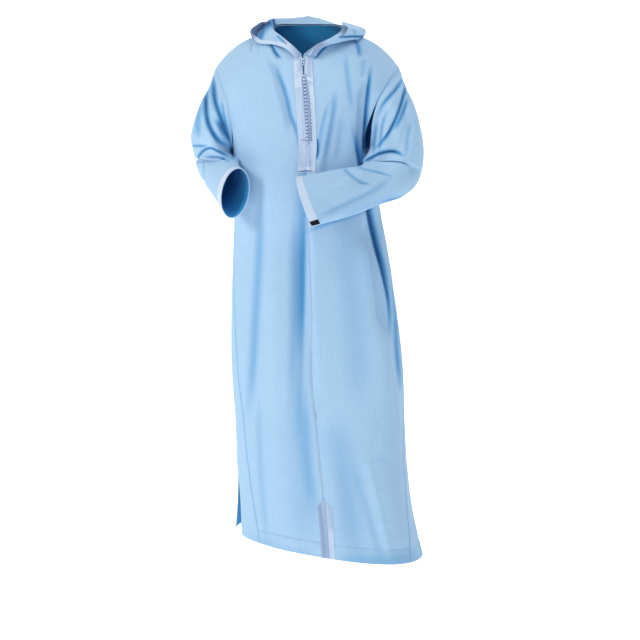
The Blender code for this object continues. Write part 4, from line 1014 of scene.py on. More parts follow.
def link(name, mesh):
    """Put a mesh in the scene; it stands for the piece of cloth or trim it is named for."""
    old = bpy.data.objects.get(name)
    if old is not None and "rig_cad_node" not in old:
        bpy.data.objects.remove(old, do_unlink=True)
    thing = bpy.data.objects.new(name, mesh)
    bpy.context.scene.collection.objects.link(thing)
    return thing


def settle(thing, slot_name, *nodes):
    """A piece rides on the one body and stands for solids, whose meshes are hidden; slot_name is not used.
    """
    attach(thing, BODY_NAME)
    if nodes:
        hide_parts(*nodes)
    return thing


def seam_edge(kind, side):
    """Exact points along a seam below the chest, the same for both its panels."""
    heights = skirt_heights()
    name = {"centre": "seam_front", "spine": "back"}.get(kind, kind + "_" + side)
    return ring(heights, seam_angle(name, heights))


def seam_columns(count):
    """Column places from 0 to 1, closer together beside both seams."""
    even = np.linspace(0, 1, count - 5)
    first = even[1]
    return np.sort(np.concatenate([even, first * np.array([0.2, 0.5]), 1 - first * np.array([0.2, 0.5])]))


def panel(side, half, columns):
    """A front or back panel from hem to shoulder, with its folds."""
    places = body_rows()
    sheet = spread(body_net(side, half), places, columns)
    kinds = ("centre", "gore") if half == "front" else ("spine", "side")
    at = (places[SKIRT_ROWS + 1:] - CHEST_SHARE) / (1 - CHEST_SHARE)
    first = np.vstack([seam_edge(kinds[0], side), inner_edge(side, half, at)])
    last = np.vstack([seam_edge(kinds[1], side), outer_edge(side, half, at)])
    share = (1 - columns)[None, :, None] ** 2
    sheet += (first - sheet[:, 0])[:, None] * share
    sheet += (last - sheet[:, -1])[:, None] * (1 - np.sqrt(share)) ** 2
    return fold_body(sheet)


def gore(side):
    """Narrow side gore between the front panel and the side seam, open at its slit."""
    heights = skirt_heights()
    first = seam_angle("gore_" + side, heights)[:, None]
    last = seam_angle("side_" + side, heights)[:, None]
    angles = first + (last - first) * seam_columns(GORE_COLUMNS)
    sheet = fold_body(ring(heights[:, None] + 0 * angles, angles))
    away = sheet[:, -5] - sheet[:, -1]
    open_below = np.clip((SIDE_SLIT_TOP_Z - sheet[:, -1, 2]) / (SIDE_SLIT_TOP_Z - HEM_Z), 0, 1)
    forward, inward = SIDE_SLIT_PULL[side]
    pull = (unit(away) * forward + [inward, 0, 0]) * open_below[:, None]
    columns = seam_columns(GORE_COLUMNS)[None, :, None]
    return sheet + pull[:, None] * columns ** 3


def seam_dip(sheet, out, deep, first):
    """A seam draws the cloth in beside its line and leaves a low ridge next to it; shade is painted along
    its line.
    """
    along = running(sheet, 1)
    push = np.zeros(along.shape)
    for near in [along] * first + [along[:, -1:] - along]:
        push -= SEAM_DRAW * np.exp(-(near / SEAM_DRAW_WIDTH) ** 2)
        push += SEAM_RIDGE * np.exp(-((near - SEAM_RIDGE_PLACE) / SEAM_RIDGE_WIDTH) ** 2)
        deep = np.maximum(deep, SEAM_SHADE * np.exp(-(near / SEAM_SHADE_WIDTH) ** 2))
    return sheet + out * push[..., None], deep


def hem_turn(sheet, out):
    """The turned-up hem is thicker, with a shallow line where it is stitched."""
    depth = bpy.context.scene.thobe.hem_depth
    up = running(sheet, 0)
    push = HEM_THICK * ease((depth - up) / HEM_STEP)
    push = push - HEM_LINE * np.exp(-((up - depth) / HEM_LINE_WIDTH) ** 2)
    return sheet + out * push[..., None]


def armhole_hold(sheet):
    """Share of a crease that a body sheet takes: none along the armhole, all away from it."""
    rows = np.arange(len(sheet))[:, None]
    along = running(sheet, 1)
    beside = ease((along[:, -1:] - along) / ARMHOLE_HOLD)
    above = ease((rows - SKIRT_ROWS + ARMHOLE_HOLD_ROWS) / ARMHOLE_HOLD_ROWS)
    if len(sheet) == SKIRT_ROWS + 1:
        return 1 - above
    return 1 - above * (1 - beside)


def finish_panel(sheet, first=True):
    """Creases, seams, hem and painted shade of a body panel; first is whether its first edge is a seam."""
    out = body_out(sheet)
    sheet, deep = crease(sheet, out, BODY_CREASES, armhole_hold(sheet))
    deep = np.maximum(deep, shade(sheet, SHOULDER_SHADES) * ease(-out[..., 1] / 0.2))
    sheet, deep = seam_dip(sheet, out, deep, first)
    return hem_turn(sheet, out), deep


@functools.cache
def finished_panel(side, half):
    """A front or back panel with its creases, seams and hem, and how much painted shade each point takes."""
    front = half == "front"
    count = FRONT_COLUMNS if front else BACK_COLUMNS
    return finish_panel(panel(side, half, seam_columns(count)), front)


def facing_grid(sheet):
    """Outward normals of a body grid, whichever way its columns run."""
    out = normals_of(sheet)
    return out * np.sign((out * body_out(sheet)).sum())


def facing_pair(strip, away):
    """A strip and its outward directions, ordered so that its columns run one way round."""
    if (normals_of(strip) * away).sum() < 0:
        strip, away = strip[:, ::-1], away[:, ::-1]
    return strip, away


def narrowed(grid, shares):
    """Read each row of a grid over a share of its width, from its first column."""
    places = np.arange(grid.shape[1])
    return np.array([read_at(places * share, places, row) for row, share in zip(grid, shares)])


def strip_on(sheet, out, near, far, step=0.001):
    """Narrow grid lying on a sheet between two distances from its first column."""
    along = running(sheet, 1)
    wide = max(2, int(round((far - near) / step)) + 1)
    marks = np.linspace(near, far, wide)
    spots, away = (np.array([read_at(marks, *row) for row in zip(along, part)]) for part in (sheet, out))
    return finer(spots, step), unit(finer(away, step, spots))


def finer(grid, step, like=None):
    """Read a grid on rows about one step apart, on itself or on the grid that it goes with."""
    like = grid if like is None else like
    along = running(like.mean(axis=1, keepdims=True), 0)[:, 0]
    marks = np.linspace(0, along[-1], max(2, int(round(along[-1] / step)) + 1))
    return np.stack([read_at(marks, along, grid[:, c]) for c in range(grid.shape[1])], axis=1)


def lay_trim(name, parts, look, slot_name, *nodes, lift=0.0, thickness=TRIM_THICK, closed=False):
    """Trim that lies on the cloth, from grids with their outward directions and shade."""
    piece = Cloth()
    for part in parts:
        piece.add(*part, closed=closed)
    settle(piece.make(name, (look,), thickness, TRIM_LIFT + lift), slot_name, *nodes)


def tube(name, lines, radius, look, sides=6):
    """Small round cords along several lines, joined into one mesh."""
    points, faces = [], []
    for line in lines:
        line = np.asarray(line)
        along = unit(np.gradient(line, axis=0))
        guide = (0.0, 1.0, 0.0) if abs(along[:, 1]).mean() < 0.7 else (1.0, 0.0, 0.0)
        side = unit(np.cross(along, guide))
        up = np.cross(along, side)
        turns = np.arange(sides) * 2 * math.pi / sides
        start = sum(len(p) for p in points)
        across = np.cos(turns)[:, None] * side[:, None] + np.sin(turns)[:, None] * up[:, None]
        points.append((line[:, None] + radius * across).reshape(-1, 3))
        grid, _ = grid_faces(len(line), sides, closed=True)
        faces += (grid + start).tolist()
        faces.append(tuple(start + i for i in range(sides - 1, -1, -1)))
        faces.append(tuple(start + (len(line) - 1) * sides + i for i in range(sides)))
    mesh = bpy.data.meshes.new(name)
    mesh.from_pydata(np.concatenate(points).tolist(), [], faces)
    mesh.materials.append(look)
    mesh.shade_smooth()
    return link(name, mesh)


# Finishes

def linear(hex_colour):
    """sRGB hex value as linear red, green and blue."""
    parts = [int(hex_colour[i:i + 2], 16) / 255 for i in (0, 2, 4)]
    return tuple(p / 12.92 if p <= 0.04045 else ((p + 0.055) / 1.055) ** 2.4 for p in parts)


def add_node(tree, kind, settings=None, inputs=None):
    """Add a node, set its properties, and fill or link its inputs."""
    made = tree.nodes.new(kind)
    for key, value in (settings or {}).items():
        setattr(made, key, value)
    for key, value in (inputs or {}).items():
        if isinstance(value, bpy.types.NodeSocket):
            tree.links.new(value, made.inputs[key])
        else:
            made.inputs[key].default_value = value
    return made


def new_finish(name, colour, roughness, **sockets):
    """Principled material, new or emptied, with its constants on the shader's own sockets."""
    made = bpy.data.materials.get(name) or bpy.data.materials.new(name)
    made.use_nodes = True
    tree = made.node_tree
    tree.nodes.clear()
    values = {key.replace("_", " "): value for key, value in sockets.items()}
    shader = add_node(tree, "ShaderNodeBsdfPrincipled", None,
                      {"Base Color": (*colour, 1), "Roughness": roughness, **values})
    add_node(tree, "ShaderNodeOutputMaterial", None, {"Surface": shader.outputs[0]})
    return made, tree, shader


def grain(tree, across, along, detail=2.0):
    """Uneven pattern whose grain is across by along metres on the cloth."""
    place = add_node(tree, "ShaderNodeUVMap", {"uv_map": "weave"}).outputs[0]
    scaled = add_node(tree, "ShaderNodeMapping", None,
                      {"Vector": place, "Scale": (1 / across, 1 / along, 1)})
    noise = add_node(tree, "ShaderNodeTexNoise", {"noise_dimensions": "2D"},
                     {"Vector": scaled.outputs[0], "Scale": 1.0, "Detail": detail, "Roughness": 0.55})
    return noise.outputs["Fac"]


def dyed(tree, value, low, high, first, second, most=1.0):
    """Colour that turns from the first to the second as a value goes from low to high."""
    share = add_node(tree, "ShaderNodeMapRange", None, {0: value, 1: low, 2: high, 3: 0.0, 4: most})
    pair = {key: colour if isinstance(colour, bpy.types.NodeSocket) else (*colour, 1)
            for key, colour in ((6, first), (7, second))}
    return add_node(tree, "ShaderNodeMix", {"data_type": "RGBA"}, {0: share.outputs[0], **pair}).outputs[2]


def with_painted_shade(tree, colour, painted_mid_shade, painted_deep_shade):
    """Colour with painted shade read from the crease attribute: the mid shade half way, the deepest shade at
    full strength, as at a fold's bottom.
    """
    depth = add_node(tree, "ShaderNodeAttribute", {"attribute_name": "crease"}).outputs["Fac"]
    half = dyed(tree, depth, 0.02, 0.45, colour, painted_mid_shade)
    return dyed(tree, depth, 0.45, 1.0, half, painted_deep_shade)


def surface(tree, shader, colour, relief, strength, height):
    """Lay a colour pattern on a shader, and a relief with its height in metres."""
    bump = add_node(tree, "ShaderNodeBump", None,
                    {"Strength": strength, "Distance": height, "Height": relief})
    tree.links.new(colour, shader.inputs["Base Color"])
    tree.links.new(bump.outputs[0], shader.inputs["Normal"])


def slub_cloth(name, colour, painted_mid_shade, painted_deep_shade):
    """Plain-woven slub cloth: thick and thin threads both ways, matt, with a soft sheen."""
    made, tree, shader = new_finish(name, colour, 0.85, Sheen_Weight=0.10, Sheen_Roughness=0.5, IOR=1.42)
    # Real threads lie 0.4 mm apart; they are drawn 1.8 mm apart so that they show.
    warp, weft = grain(tree, 0.0018, 0.060), grain(tree, 0.045, 0.0020)
    threads = add_node(tree, "ShaderNodeMath", {"operation": "ADD"}, {0: warp, 1: weft}).outputs[0]
    light = tuple(min(1.0, c * 1.05) for c in colour)
    dark = tuple(c * k for c, k in zip(colour, (0.925, 0.9475, 0.97)))
    woven = dyed(tree, threads, 0.72, 1.28, dark, light)
    clouded = dyed(tree, grain(tree, 0.09, 0.16, 3.0), 0.3, 0.7, woven, dark, most=0.22)
    surface(tree, shader, with_painted_shade(tree, clouded, painted_mid_shade, painted_deep_shade), threads, 0.25, 0.0004)
    return made


def braid(name, colour, dark_colour, painted_deep_shade):
    """Rayon braid of fine twisted cords: pale, with a silky gloss along each cord."""
    made, tree, shader = new_finish(name, colour, 0.42, Sheen_Weight=0.25, IOR=1.5)
    # Real cords are 0.9 mm; their crossings are drawn 1.4 mm apart so that they show.
    place = add_node(tree, "ShaderNodeUVMap", {"uv_map": "weave"}).outputs[0]
    cords = add_node(tree, "ShaderNodeTexWave", {"bands_direction": "Y"},
                     {"Vector": place, "Scale": 1 / 0.0044, "Distortion": 0.6, "Detail": 1.0}).outputs["Fac"]
    fray = grain(tree, 0.003, 0.0016, 3.0)
    both = add_node(tree, "ShaderNodeMath", {"operation": "ADD"}, {0: cords, 1: fray}).outputs[0]
    pale = tuple(c * 0.25 + d * 0.75 for c, d in zip(dark_colour, colour))
    tone = dyed(tree, both, 0.45, 1.2, pale, colour)
    # The dark colour serves twice: in the cords' pattern, and as the mid shade painted into folds.
    surface(tree, shader, with_painted_shade(tree, tone, dark_colour, painted_deep_shade), both, 0.5, 0.0005)
    return made


def satin_facing(name, colour, dark_colour, painted_deep_shade):
    """Woven polyester satin: smooth floats along the slit give it a dull gloss."""
    made, tree, shader = new_finish(name, colour, 0.5, IOR=1.45)
    # Real floats are 0.2 mm wide; they are drawn 3 mm wide so that they show.
    floats = grain(tree, 0.0030, 0.040)
    near = tuple(c * 0.85 + d * 0.15 for c, d in zip(colour, dark_colour))
    tone = dyed(tree, floats, 0.3, 0.7, near, colour)
    # The dark colour serves twice: in the floats' pattern, and as the mid shade painted into folds.
    surface(tree, shader, with_painted_shade(tree, tone, dark_colour, painted_deep_shade), floats, 0.2, 0.0003)
    return made


def ribbon(name, colour, light_colour):
    """Black woven ribbon: close cross ribs, nearly matt."""
    made, tree, shader = new_finish(name, colour, 0.7, IOR=1.25)
    # Real ribs are 0.5 mm apart; they are drawn 1.2 mm apart so that they show.
    ribs = grain(tree, 0.020, 0.0012)
    surface(tree, shader, dyed(tree, ribs, 0.35, 0.75, colour, light_colour), ribs, 0.3, 0.0003)
    return made


def twisted_cord(name, colour, dark_colour):
    """Twisted cord and thread: silky, with the dark lines of its twist."""
    made, tree, shader = new_finish(name, colour, 0.45, Sheen_Weight=0.2)
    # The twist's lines lie 1.1 mm apart, as on a real cord of this size.
    place = add_node(tree, "ShaderNodeTexCoord").outputs["Object"]
    twist = add_node(tree, "ShaderNodeTexWave", {"bands_direction": "DIAGONAL"},
                     {"Vector": place, "Scale": 1 / 0.0030, "Distortion": 1.0}).outputs["Fac"]
    surface(tree, shader, dyed(tree, twist, 0.0, 0.7, dark_colour, colour), twist, 0.4, 0.0003)
    return made


def looks(context):
    """The finishes of the garment, made from the settings each time that a step asks."""
    chosen = context.scene.thobe
    trim = tuple(chosen.braid_colour)
    wanted = {
        # For the cloth, braid and facing, the last two colours are the mid and the deepest painted shade;
        # the braid's and facing's mid shade also tints their pattern.
        "cloth": ("slub_cotton_woven", slub_cloth, tuple(chosen.cloth_colour), "549ACF", "0A3F78"),
        # The wrong side is a darker, bluer copy of the cloth: partly the cloth's own wrong side, partly
        # painted shade inside the garment.
        "inside": ("slub_cotton_wrong_side", slub_cloth, linear("2A92CE"), "0A5A9A", "06345E"),
        "braid": ("rayon_braid_corded", braid, trim, "8EA8D2", "304C7A"),
        "cord": ("rayon_cord_twisted", twisted_cord, trim, "9AA9C6"),
        # The slate cord's colour is painted shadow of the cord loops beside the knots.
        "slate_cord_painted_shadow": ("rayon_cord_slate", twisted_cord, linear("5C7FB4"), "3D5F95"),
        "facing": ("polyester_satin_facing", satin_facing, tuple(chosen.facing_colour), "97B0D0", "48638F"),
        "ribbon": ("polyester_ribbon_woven", ribbon, linear("030304"), "0C0C0E"),
        "thread": ("polyester_thread_twisted", twisted_cord, linear("A0C4E7"), "88AFDA"),
    }
    return {key: maker(name, colour, *(linear(other) for other in others))
            for key, (name, maker, colour, *others) in wanted.items()}


# Settings

class ThobeSettings(bpy.types.PropertyGroup):
    """Sizes and colours of the garment that a maker would change."""

    cloth_colour: bpy.props.FloatVectorProperty(
        name="Cloth", description="Colour of the right side of the cloth",
        subtype="COLOR", size=3, min=0, max=1, default=linear("A5C7E4"))
    braid_colour: bpy.props.FloatVectorProperty(
        name="Braid", description="Colour of the braid, cords and knots",
        subtype="COLOR", size=3, min=0, max=1, default=linear("CCDFF4"))
    facing_colour: bpy.props.FloatVectorProperty(
        name="Slit facing", description="Colour of the facing of the front slit",
        subtype="COLOR", size=3, min=0, max=1, default=linear("BBD0EA"))
    hem_depth: bpy.props.FloatProperty(
        name="Hem depth", description="Height of the turned-up hem",
        subtype="DISTANCE", unit="LENGTH", min=0.01, max=0.08, default=HEM_DEPTH)
    rib_pitch: bpy.props.FloatProperty(
        name="Braid rib pitch", description="Distance between the ribs of the placket braid",
        subtype="DISTANCE", unit="LENGTH", min=0.002, max=0.02, default=0.0065)


# Pieces

class THOBE_OT_body(bpy.types.Operator):
    """Front panels, side gores and back, from hem to shoulder"""

    bl_idname = "thobe.body"
    bl_label = "Body panels"

    def execute(self, context):
        finished_panel.cache_clear()
        skins = looks(context)
        pair = (skins["cloth"], skins["inside"])
        for side in SIDES:
            self.panel("front_panel_" + side, [finished_panel(side, "front")], pair, "front_" + side)
            self.panel("side_gore_" + side, [finish_panel(gore(side))], pair, "gore_" + side)
        self.panel("back_panel", [finished_panel(side, "back") for side in SIDES], pair, "back")
        return {"FINISHED"}

    def panel(self, name, parts, pair, node):
        """Cloth of one panel, from one grid or from the two halves of the back."""
        piece = Cloth()
        for sheet, deep in parts:
            piece.add(sheet, facing_grid(sheet), deep)
        thing = settle(piece.make(name, pair), "blue_slub_cloth", node)


class THOBE_OT_sleeves(bpy.types.Operator):
    """Both sleeves, from the armhole to the cuff"""

    bl_idname = "thobe.sleeves"
    bl_label = "Sleeves"

    def execute(self, context):
        skins = looks(context)
        for side in SIDES:
            piece = Cloth()
            piece.add(*sleeve_grid(side), closed=True)
            thing = settle(piece.make("sleeve_cloth_" + side, (skins["cloth"], skins["inside"])),
                           "blue_slub_cloth", "sleeve_" + side)
        return {"FINISHED"}


@functools.cache
def sleeve_grid(side):
    """A sleeve's grid with its creases, the way out from it, and how deep in painted shade each point lies.
    """
    sheet = sleeve_sheet(side, np.linspace(0, 1, SLEEVE_ROWS))
    sign = 1.0 if side == "left" else -1.0
    angles = np.radians(np.arange(SLEEVE_SIDES) * 360.0 / SLEEVE_SIDES)
    # The first row is tucked into the armhole, and stands on the chest line at the underarm.
    away = sheet[1] - sheet[0]
    sheet[0] -= unit(away) * SLEEVE_LAP
    sheet[0, :, 0] += sign * UNDERARM_STEP * np.clip(-2.2 * np.cos(angles) - 1.0, 0, 1)
    sheet[0, :, 2] = np.maximum(sheet[0, :, 2], CHEST_Z + UNDERARM_RISE)
    sheet = sheet if side == "left" else sheet[:, ::-1]
    folds = LEFT_SLEEVE_CREASES if side == "left" else RIGHT_SLEEVE_CREASES
    free = ease(np.arange(SLEEVE_ROWS) / SLEEVE_HOLD_ROWS)[:, None]
    moved, deep = crease(sheet, normals_of(sheet, closed=True), folds)
    sheet = sheet + (moved - sheet) * free[..., None]
    out = normals_of(sheet, closed=True)
    tuck = np.zeros((SLEEVE_ROWS, 1, 1))
    tuck[0], tuck[1] = SLEEVE_TUCK
    return sheet + out * tuck, out, deep * free


class THOBE_OT_hood(bpy.types.Operator):
    """Hood lying down on the shoulders and back"""

    bl_idname = "thobe.hood"
    bl_label = "Hood"

    def execute(self, context):
        skins = looks(context)
        sheet, out = hood_grid()
        sheet, deep = crease(sheet, out, HOOD_CREASES)
        piece = Cloth()
        piece.add(sheet, out, np.maximum(deep, shade(sheet, HOOD_SHADES)))
        thing = piece.make("hood_cloth", (skins["cloth"],), near_side=True)
        settle(thing, "blue_slub_cloth", "hood")
        strip, away = strip_on(sheet[:, ::-1], out[:, ::-1], HOOD_BRAID_START, HOOD_BRAID_WIDTH,
                               HOOD_BRAID_STEP)
        # The braid turns nearly edge-on along the far rim on the right.
        far_rim = ease((strip[:, 0, 1] + 0.06) / 0.04) * ease((-0.08 - strip[:, 0, 0]) / 0.04)
        strip, away = facing_pair(*(narrowed(part, 1 - 0.6 * far_rim) for part in (strip, away)))
        lay_trim("hood_edge_braid", [(strip, away, shade(strip, HOOD_BRAID_SHADES))], skins["braid"],
                 "silver_braid", "hood_braid")
        strip, away = strip_on(sheet, out, NECK_BRAID_START, NECK_BRAID_WIDTH, HOOD_BRAID_STEP)
        along = running(strip[:, :1], 0)[:, 0]
        ends = []
        for reach in (along, along[-1] - along):
            rows = reach < NECK_BRAID_LENGTH
            share = np.clip((NECK_BRAID_LENGTH - reach[rows]) / NECK_BRAID_TAPER, 0.05, 1)
            band, face = facing_pair(*(narrowed(part[rows], share) for part in (strip, away)))
            ends.append((band, face, shade(band, HOOD_BRAID_SHADES)))
        lay_trim("hood_neck_braid", ends, skins["braid"], "silver_braid")
        return {"FINISHED"}


def hood_grid():
    """Grid of the hood from the neck seam to the free edge, and the way out from it."""
    right = path(neck_edge("right"), np.clip(HOOD["neck"] * 2, 0, 1))
    left = path(neck_edge("left"), np.clip(2 - HOOD["neck"] * 2, 0, 1))
    seam = np.where(HOOD["neck"][:, None] < 0.5, right, left) + [0, 0, HOOD_SEAT]
    net = [seam] + [points_of(HOOD, name + "_") * MM for name in ("bend", "low", "fold", "edge")]
    net = np.stack(net, axis=1)
    fine = spread(net, np.linspace(0, 1, HOOD_ROWS + 1), np.linspace(0, 1, 81))
    sheet = np.empty((HOOD_ROWS + 1, HOOD_COLUMNS + 1, 3))
    for r, row in enumerate(fine):
        along = running(row[None], 1)[0]
        marks = np.linspace(0, along[-1], HOOD_COLUMNS + 1)
        sheet[r] = read_at(marks, along, row)
    return sheet, -normals_of(sheet)


class THOBE_OT_placket(bpy.types.Operator):
    """Two ribbed bands of braid beside the front opening, and their cross end"""

    bl_idname = "thobe.placket"
    bl_label = "Placket braid"

    def execute(self, context):
        skins = looks(context)
        pitch = context.scene.thobe.rib_pitch
        rows = slice(skirt_row(BRAID_END_Z), NECK_ROW + 1)
        for side in SIDES:
            sheet, away = front_cloth(side)
            strip, out = strip_on(sheet[rows], away[rows], BRAID_START, BRAID_WIDTH)
            up = running(strip.mean(axis=1, keepdims=True), 0)
            crown = np.abs(np.sin(math.pi * up / pitch)) ** 0.6
            strip, out = facing_pair(strip + out * (RIB_HEIGHT * crown)[..., None], out)
            # Shade painted into the hollows between the ribs, stronger towards the lower end of the bands.
            rib_hollow_shade = RIB_SHADE * (1 - crown) * ease((RIBS_BELOW_Z + 0.08 - strip[..., 2]) / 0.16)
            deep = np.maximum(shade(strip, PLACKET_SHADES), rib_hollow_shade)
            lay_trim("placket_braid_" + side, [(strip, out, deep)], skins["braid"],
                     "silver_braid", "placket_" + side, lift=BAND_LIFT)
        cross = tuple(BRAID_END_Z + rise for rise in CROSS_BAND)
        self.overlay("placket_cross_band", dict.fromkeys(SIDES, cross), BRAID_START, skins, "placket_end")
        self.overlay("placket_tabs", TAB_ENDS, TAB_START, skins)
        return {"FINISHED"}

    def overlay(self, name, spans, start, skins, *nodes):
        """Short lengths of braid turned back over the bands, between two heights on each side."""
        parts = []
        for side, (low, high) in spans.items():
            sheet, away = front_cloth(side)
            rows = np.interp(np.linspace(low, high, 5), sheet[:NECK_ROW, 0, 2], np.arange(NECK_ROW))
            first, share = rows.astype(int), (rows % 1)[:, None, None]
            part, out = (grid[first] * (1 - share) + grid[first + 1] * share for grid in (sheet, away))
            parts.append(facing_pair(*strip_on(part, out, start, BRAID_WIDTH + 0.0006)))
        lay_trim(name, parts, skins["braid"], "silver_braid", *nodes, lift=OVERLAY_LIFT)


def front_cloth(side):
    """A finished front panel and the way out from it."""
    sheet, _ = finished_panel(side, "front")
    return sheet, facing_grid(sheet)


def centre_line(heights):
    """Points of the centre seam at some heights, and the way out from it."""
    (sheet, away), (other, other_away) = (front_cloth(side) for side in SIDES)
    edge = (sheet[:, 0] + other[:, 0]) / 2
    out = unit(away[:, 3] + other_away[:, 3])
    z = edge[:NECK_ROW + 1, 2]
    spots, away = (read_at(heights, z, part[:NECK_ROW + 1]) for part in (edge, out))
    return spots, unit(away)


def ball_knot(name, centre, radius, tall, look):
    """Turk's-head knot: a ball whose surface follows three crossing cords."""
    shaped = bmesh.new()
    bmesh.ops.create_uvsphere(shaped, u_segments=28, v_segments=20, radius=1.0)
    for vertex in shaped.verts:
        spot = vertex.co.normalized()
        turn = math.atan2(spot.y, spot.x)
        rise = math.asin(max(-1.0, min(1.0, spot.z)))
        cords = math.cos(3 * turn + 4 * rise) * math.cos(3 * turn - 4 * rise)
        reach = radius * (1.0 + 0.10 * cords)
        vertex.co = Vector((spot.x * reach, spot.y * reach, spot.z * reach * tall)) + Vector(centre)
    mesh = bpy.data.meshes.new(name)
    shaped.to_mesh(mesh)
    shaped.free()
    mesh.materials.append(look)
    mesh.shade_smooth()
    return link(name, mesh)


class THOBE_OT_knots(bpy.types.Operator):
    """Row of ball knots with their cord loops, and the hook at the neck"""

    bl_idname = "thobe.knots"
    bl_label = "Knots and loops"

    def execute(self, context):
        skins = looks(context)
        spots, away = centre_line(np.linspace(KNOT_TOP_Z, KNOT_END_Z, KNOT_COUNT))
        for i in range(KNOT_COUNT):
            name = "knot_%02d" % (i + 1)
            knot = ball_knot("ball_" + name, spots[i] + away[i] * KNOT_LIFT, KNOT_RADIUS, 0.9, skins["cord"])
            settle(knot, "silver_braid", name)
        loops = [path([spot + out * height + np.array([across, 0, sign * gape])
                       for across, height, gape in LOOP_RUN], np.linspace(0, 1, 9))
                 for spot, out in zip(spots, away) for sign in (-1, 1)]
        settle(tube("knot_loops", loops, CORD_RADIUS["loops"], skins["cord"]), "silver_braid")
        lacing = tube("knot_lacing", [self.lacing()], CORD_RADIUS["lacing"], skins["slate_cord_painted_shadow"])
        settle(lacing, "silver_braid")
        self.hook(skins)
        return {"FINISHED"}

    def lacing(self):
        """Dark cord that runs to and fro beside the knots, one turn for each; its slate colour is painted
        shadow of the loops.
        """
        turns = 2 * KNOT_COUNT + 1
        first, last = LACING_RISES
        spots, away = centre_line(np.linspace(KNOT_TOP_Z + first, KNOT_END_Z + last, turns))
        swing = np.take(LACING_SWING, np.arange(turns) % 2)
        along = np.linspace(LACING_START, LACING_END, turns)
        line = spots + away * CORD_LIFT + np.stack([along + swing, 0 * swing, 0 * swing], axis=-1)
        return path(line, np.linspace(0, 1, 8 * turns))

    def hook(self, skins):
        """Neck closure: a short bar, two rings below it and a cord down each edge."""
        spot, out = (part[0] for part in centre_line(np.array([NECK_BUTTON_Z])))
        side = unit(np.cross(out, [0.0, 0.0, 1.0]))
        middle = spot + out * HOOK_LIFT
        bar = [middle + side * across + np.array([0, 0, HOOK_BAR_RISE])
               for across in np.linspace(-HOOK_BAR_HALF, HOOK_BAR_HALF, 7)]
        turn = np.linspace(0, 2 * math.pi, 21)[:, None]
        ring_line = HOOK_RING_RADIUS * (np.cos(turn) * side + np.sin(turn) * np.array([0, 0, 1.0]))
        rings = [middle + np.array([0, 0, rise]) + ring_line for rise in HOOK_RING_RISES]
        settle(tube("neck_hook", [np.array(bar)] + rings, CORD_RADIUS["hook"], skins["cord"], sides=8),
               "silver_braid", "neck_button")
        edges = []
        for name, sign in zip(SIDES, (1, -1)):
            sheet, away = front_cloth(name)
            edges.append(sheet[SLIT_PIPING_ROWS, 0] + away[SLIT_PIPING_ROWS, 2] * PIPING_LIFT
                         + np.array([sign * PIPING_BACK, 0, 0]))
        settle(tube("neck_piping", edges, CORD_RADIUS["piping"], skins["cord"]), "silver_braid")


class THOBE_OT_seam_cord(bpy.types.Operator):
    """Thin braided cord in the centre seam, with its bar tack"""

    bl_idname = "thobe.seam_cord"
    bl_label = "Seam cord"

    def execute(self, context):
        skins = looks(context)
        first, last = SEAM_CORD_ENDS
        heights = np.linspace(BRAID_END_Z + first, SLIT_TOP_Z + last, 300)
        spots, away = centre_line(heights)
        side = unit(np.cross(np.gradient(spots, axis=0), away))
        turns = (heights[0] - heights[-1]) / SEAM_CORD_TWIST
        angles = np.linspace(0, turns * 2 * math.pi, len(heights))[:, None]
        twists = [spots + away * (SEAM_CORD_LIFT + SEAM_CORD_HALF * np.sin(phase))
                  + side * (SEAM_CORD_HALF * np.cos(phase)) for phase in (angles, angles + math.pi)]
        twist = tube("seam_cord_twist", twists, CORD_RADIUS["seam"], skins["cord"])
        settle(twist, "silver_braid", "seam_cord")
        half_width, half_height = BAR_TACK_HALF
        spots, away = centre_line(np.linspace(BAR_TACK_Z - half_height, BAR_TACK_Z + half_height, 9))
        widths = half_width * np.sin(np.linspace(0.25, math.pi - 0.25, 9))
        bars = [np.stack([spot + out * CORD_LIFT + np.array([across, 0, 0])
                          for across in np.linspace(-1, 1, 5) * half])
                for spot, out, half in zip(spots, away, widths)]
        settle(tube("seam_bar_tack", bars, CORD_RADIUS["tack"], skins["cord"]), "silver_braid", "bar_tack")
        return {"FINISHED"}


class THOBE_OT_topstitching(bpy.types.Operator):
    """Lines of stitches beside the armholes and above the hem"""

    bl_idname = "thobe.topstitching"
    bl_label = "Topstitching"

    def execute(self, context):
        skins = looks(context)
        hem = context.scene.thobe.hem_depth
        rows = slice(SKIRT_ROWS + 4, None)
        stitches = []
        for side in SIDES:
            sheet, away = front_cloth(side)
            line, out = strip_on(sheet[rows, ::-1], away[rows, ::-1], TOPSTITCH_BACK, TOPSTITCH_BACK + 0.001)
            stitches += self.dashes(line[:, 0] + out[:, 0] * STITCH_LIFT)
            up = running(sheet, 0)
            line, out = (np.array([read_at(hem, up[:, c], part[:, c]) for c in range(sheet.shape[1])])
                         for part in (sheet, away))
            stitches += self.dashes(line + out * STITCH_LIFT)
        settle(tube("topstitch_lines", stitches, STITCH_RADIUS, skins["thread"], sides=4), "silver_braid")
        return {"FINISHED"}

    def dashes(self, line):
        """Single stitches along a line, one for each pitch."""
        length = np.linalg.norm(np.diff(line, axis=0), axis=1).sum()
        starts = np.arange(0, length - STITCH_PITCH, STITCH_PITCH)
        return [path(line, (start + STITCH_LENGTH * np.linspace(0, 1, 3)) / length) for start in starts]


